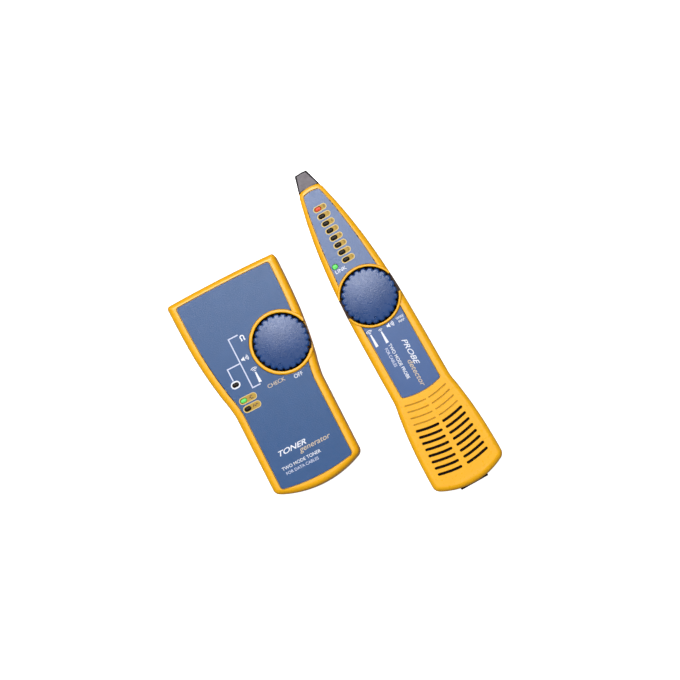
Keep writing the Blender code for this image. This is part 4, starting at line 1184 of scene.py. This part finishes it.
def probe_tip(unit):
    """Tip moulding: black sides, and a grey face that starts a little inside the edge."""
    chamfer = 1.3
    low, high = 3.0, PROBE_FACE - 1.4
    loops = [tip_loop(chamfer * inset, low + 2.5 * drop) for inset, drop in quarter(5)[::-1]]
    loops += [tip_loop(chamfer * inset, high - chamfer * drop) for inset, drop in quarter(5)]
    tip = Shape().loft(loops, strips=True).item("probe_tip_moulding", taper)
    bore = Shape().rod_along_y(0, PICKUP_Z, PICKUP_RADIUS + GAP, 100, 111)
    combine(tip, bore)
    give_looks(tip, ("black", "tip"))
    for face in tip.data.polygons:
        face.material_index = int(face.normal.z > TIP_FLAT)
    unit.finish(tip, "tip", "grey_tip", stands_for=("probe_tip",))


def probe_print(unit):
    """Graphics of the probe's two labels, with plain words where the real ones carry names."""
    gold_patches(unit, [((x + 1.4, y), (x, y)) for x, y in probe_leds()], (9.0, 3.9))
    for index, (x, y) in enumerate(probe_leds()):
        lettering(unit, f"probe_digit_{8 - index}", str(8 - index), (x + 4.3, y), 1.9, "brown_ink",
                  lift=INK_OVER)
    lettering(unit, "probe_word_link", "LINK", (-7.7, 48.3), 2.3, "white_ink", stretch=1.1, weight=0.03)
    signs = Print(unit)
    probe_sign(signs, -11.3, 4.0, 8.5, (1.0, 1.9, 2.8))
    probe_sign(signs, -4.5, 2.5, 8.0, (0.9, 1.7))
    loudspeaker(signs, (2.3, 3.6))
    signs.finish("probe_white_signs", "white_ink")
    for line, word in enumerate(("WIRE", "MAP")):
        lettering(unit, f"probe_word_{word.lower()}", word, (9.9, 4.7 - 2.3 * line), 1.6, "white_ink",
                  weight=0.02)
    for name, words, at, height, look, slant, stretch in (
            ("large", "PROBE", (5.1, -16.5), 3.3, "white_ink", 0.35, 1.25),
            ("second", "detector", (2.0, -30.0), 3.4, "tan_ink", 0.25, 1.1),
            ("type", "TWO MODE PROBE", (-4.0, -19.0), 2.1, "white_ink", 0.0, 0.95),
            ("use", "FOR CABLES", (-7.2, -14.5), 1.9, "lavender_ink", 0.0, 0.9)):
        lettering(unit, f"probe_word_{name}", words, at, height, look, turn=-90, slant=slant, stretch=stretch,
                  weight=0.03)


# --- CAD nodes that stay ---

def dress_inner_nodes():
    """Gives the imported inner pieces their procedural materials."""
    for ending, look in (("circuit_board", "board"), ("knob_rotor", "nylon"), ("detent_spring", "steel"),
                         ("speaker_frame", "steel"), ("speaker_magnet", "steel"), ("pickup_rod", "brass"),
                         ("battery", "can"), ("battery_snap", "black"), ("speaker_cone", "paper"),
                         ("dust_mesh", "cloth")):
        for unit in ("toner", "probe"):
            node = frame["nodes"].get(f"{unit}_{ending}")
            for slot in node.material_slots if node else ():
                slot.material = LOOKS[look].material


# --- Stage ---

def area_light(name, at, target, size, power):
    data = bpy.data.lights.new(name, "AREA")
    data.size = size
    data.energy = power
    light = placed(name, data)
    light.location = at
    light.rotation_euler = (target - at).to_track_quat("-Z", "Y").to_euler()
    light.visible_camera = False
    return light


def floor_sheet():
    sheet = bmesh.new()
    bmesh.ops.create_grid(sheet, x_segments=FLOOR_SECTIONS, y_segments=FLOOR_SECTIONS, size=FLOOR_HALF)
    mesh = bpy.data.meshes.new("floor")
    sheet.to_mesh(mesh)
    sheet.free()
    item = placed("floor", mesh)
    paper = moulded("floor_paper", (0.93, 0.93, 0.93), 0.7, grain=0.6, drift=0.99)
    paper.set(Emission_Color=(1, 1, 1, 1), Emission_Strength=FLOOR_GLOW)
    item.data.materials.append(paper.material)
    item.visible_diffuse = False
    item.visible_glossy = False


def studio():
    """Camera at the photograph's angle, dim surroundings, a wide overhead light and a small near key."""
    lean = math.radians(PICTURE_LEAN)
    up = Vector((math.sin(lean), math.cos(lean), 0))
    right = Vector((math.cos(lean), -math.sin(lean), 0))
    aim = Vector((*CAMERA_AIM, CAD_BOX[1].z - AIM_BELOW))
    sideways, downward = (math.tan(math.radians(tilt)) for tilt in (TILT_RIGHT, TILT_DOWN))
    back = Vector((0, 0, 1)) + right * sideways - up * downward
    data = bpy.data.cameras.new("camera")
    data.lens, data.sensor_width = CAMERA_LENS, SENSOR
    data.clip_end = 20
    camera = placed("camera", data)
    bpy.context.scene.camera = camera
    z_axis = back.normalized()
    camera.location = aim + z_axis * CAMERA_DISTANCE
    x_axis = up.cross(z_axis).normalized()
    y_axis = z_axis.cross(x_axis)
    turn = Matrix((x_axis, y_axis, z_axis)).transposed()
    camera.rotation_euler = turn.to_euler()

    world = bpy.data.worlds.new("white_surroundings")
    world.use_nodes = True
    inputs = world.node_tree.nodes["Background"].inputs
    inputs["Color"].default_value = (1, 1, 1, 1)
    inputs["Strength"].default_value = SURROUNDINGS
    bpy.context.scene.world = world
    middle = Vector((0, 0, 0.02))
    for name, height, upward, leftward, size, power, hidden in LIGHTS:
        at = middle + Vector((0, 0, height)) + up * upward - right * leftward
        setattr(area_light(name, at, middle, size, power), hidden, False)
    bpy.context.scene.view_settings.view_transform = "Standard"
    bpy.context.scene.view_settings.look = "None"


toner()
probe()
dress_inner_nodes()
floor_sheet()
studio()
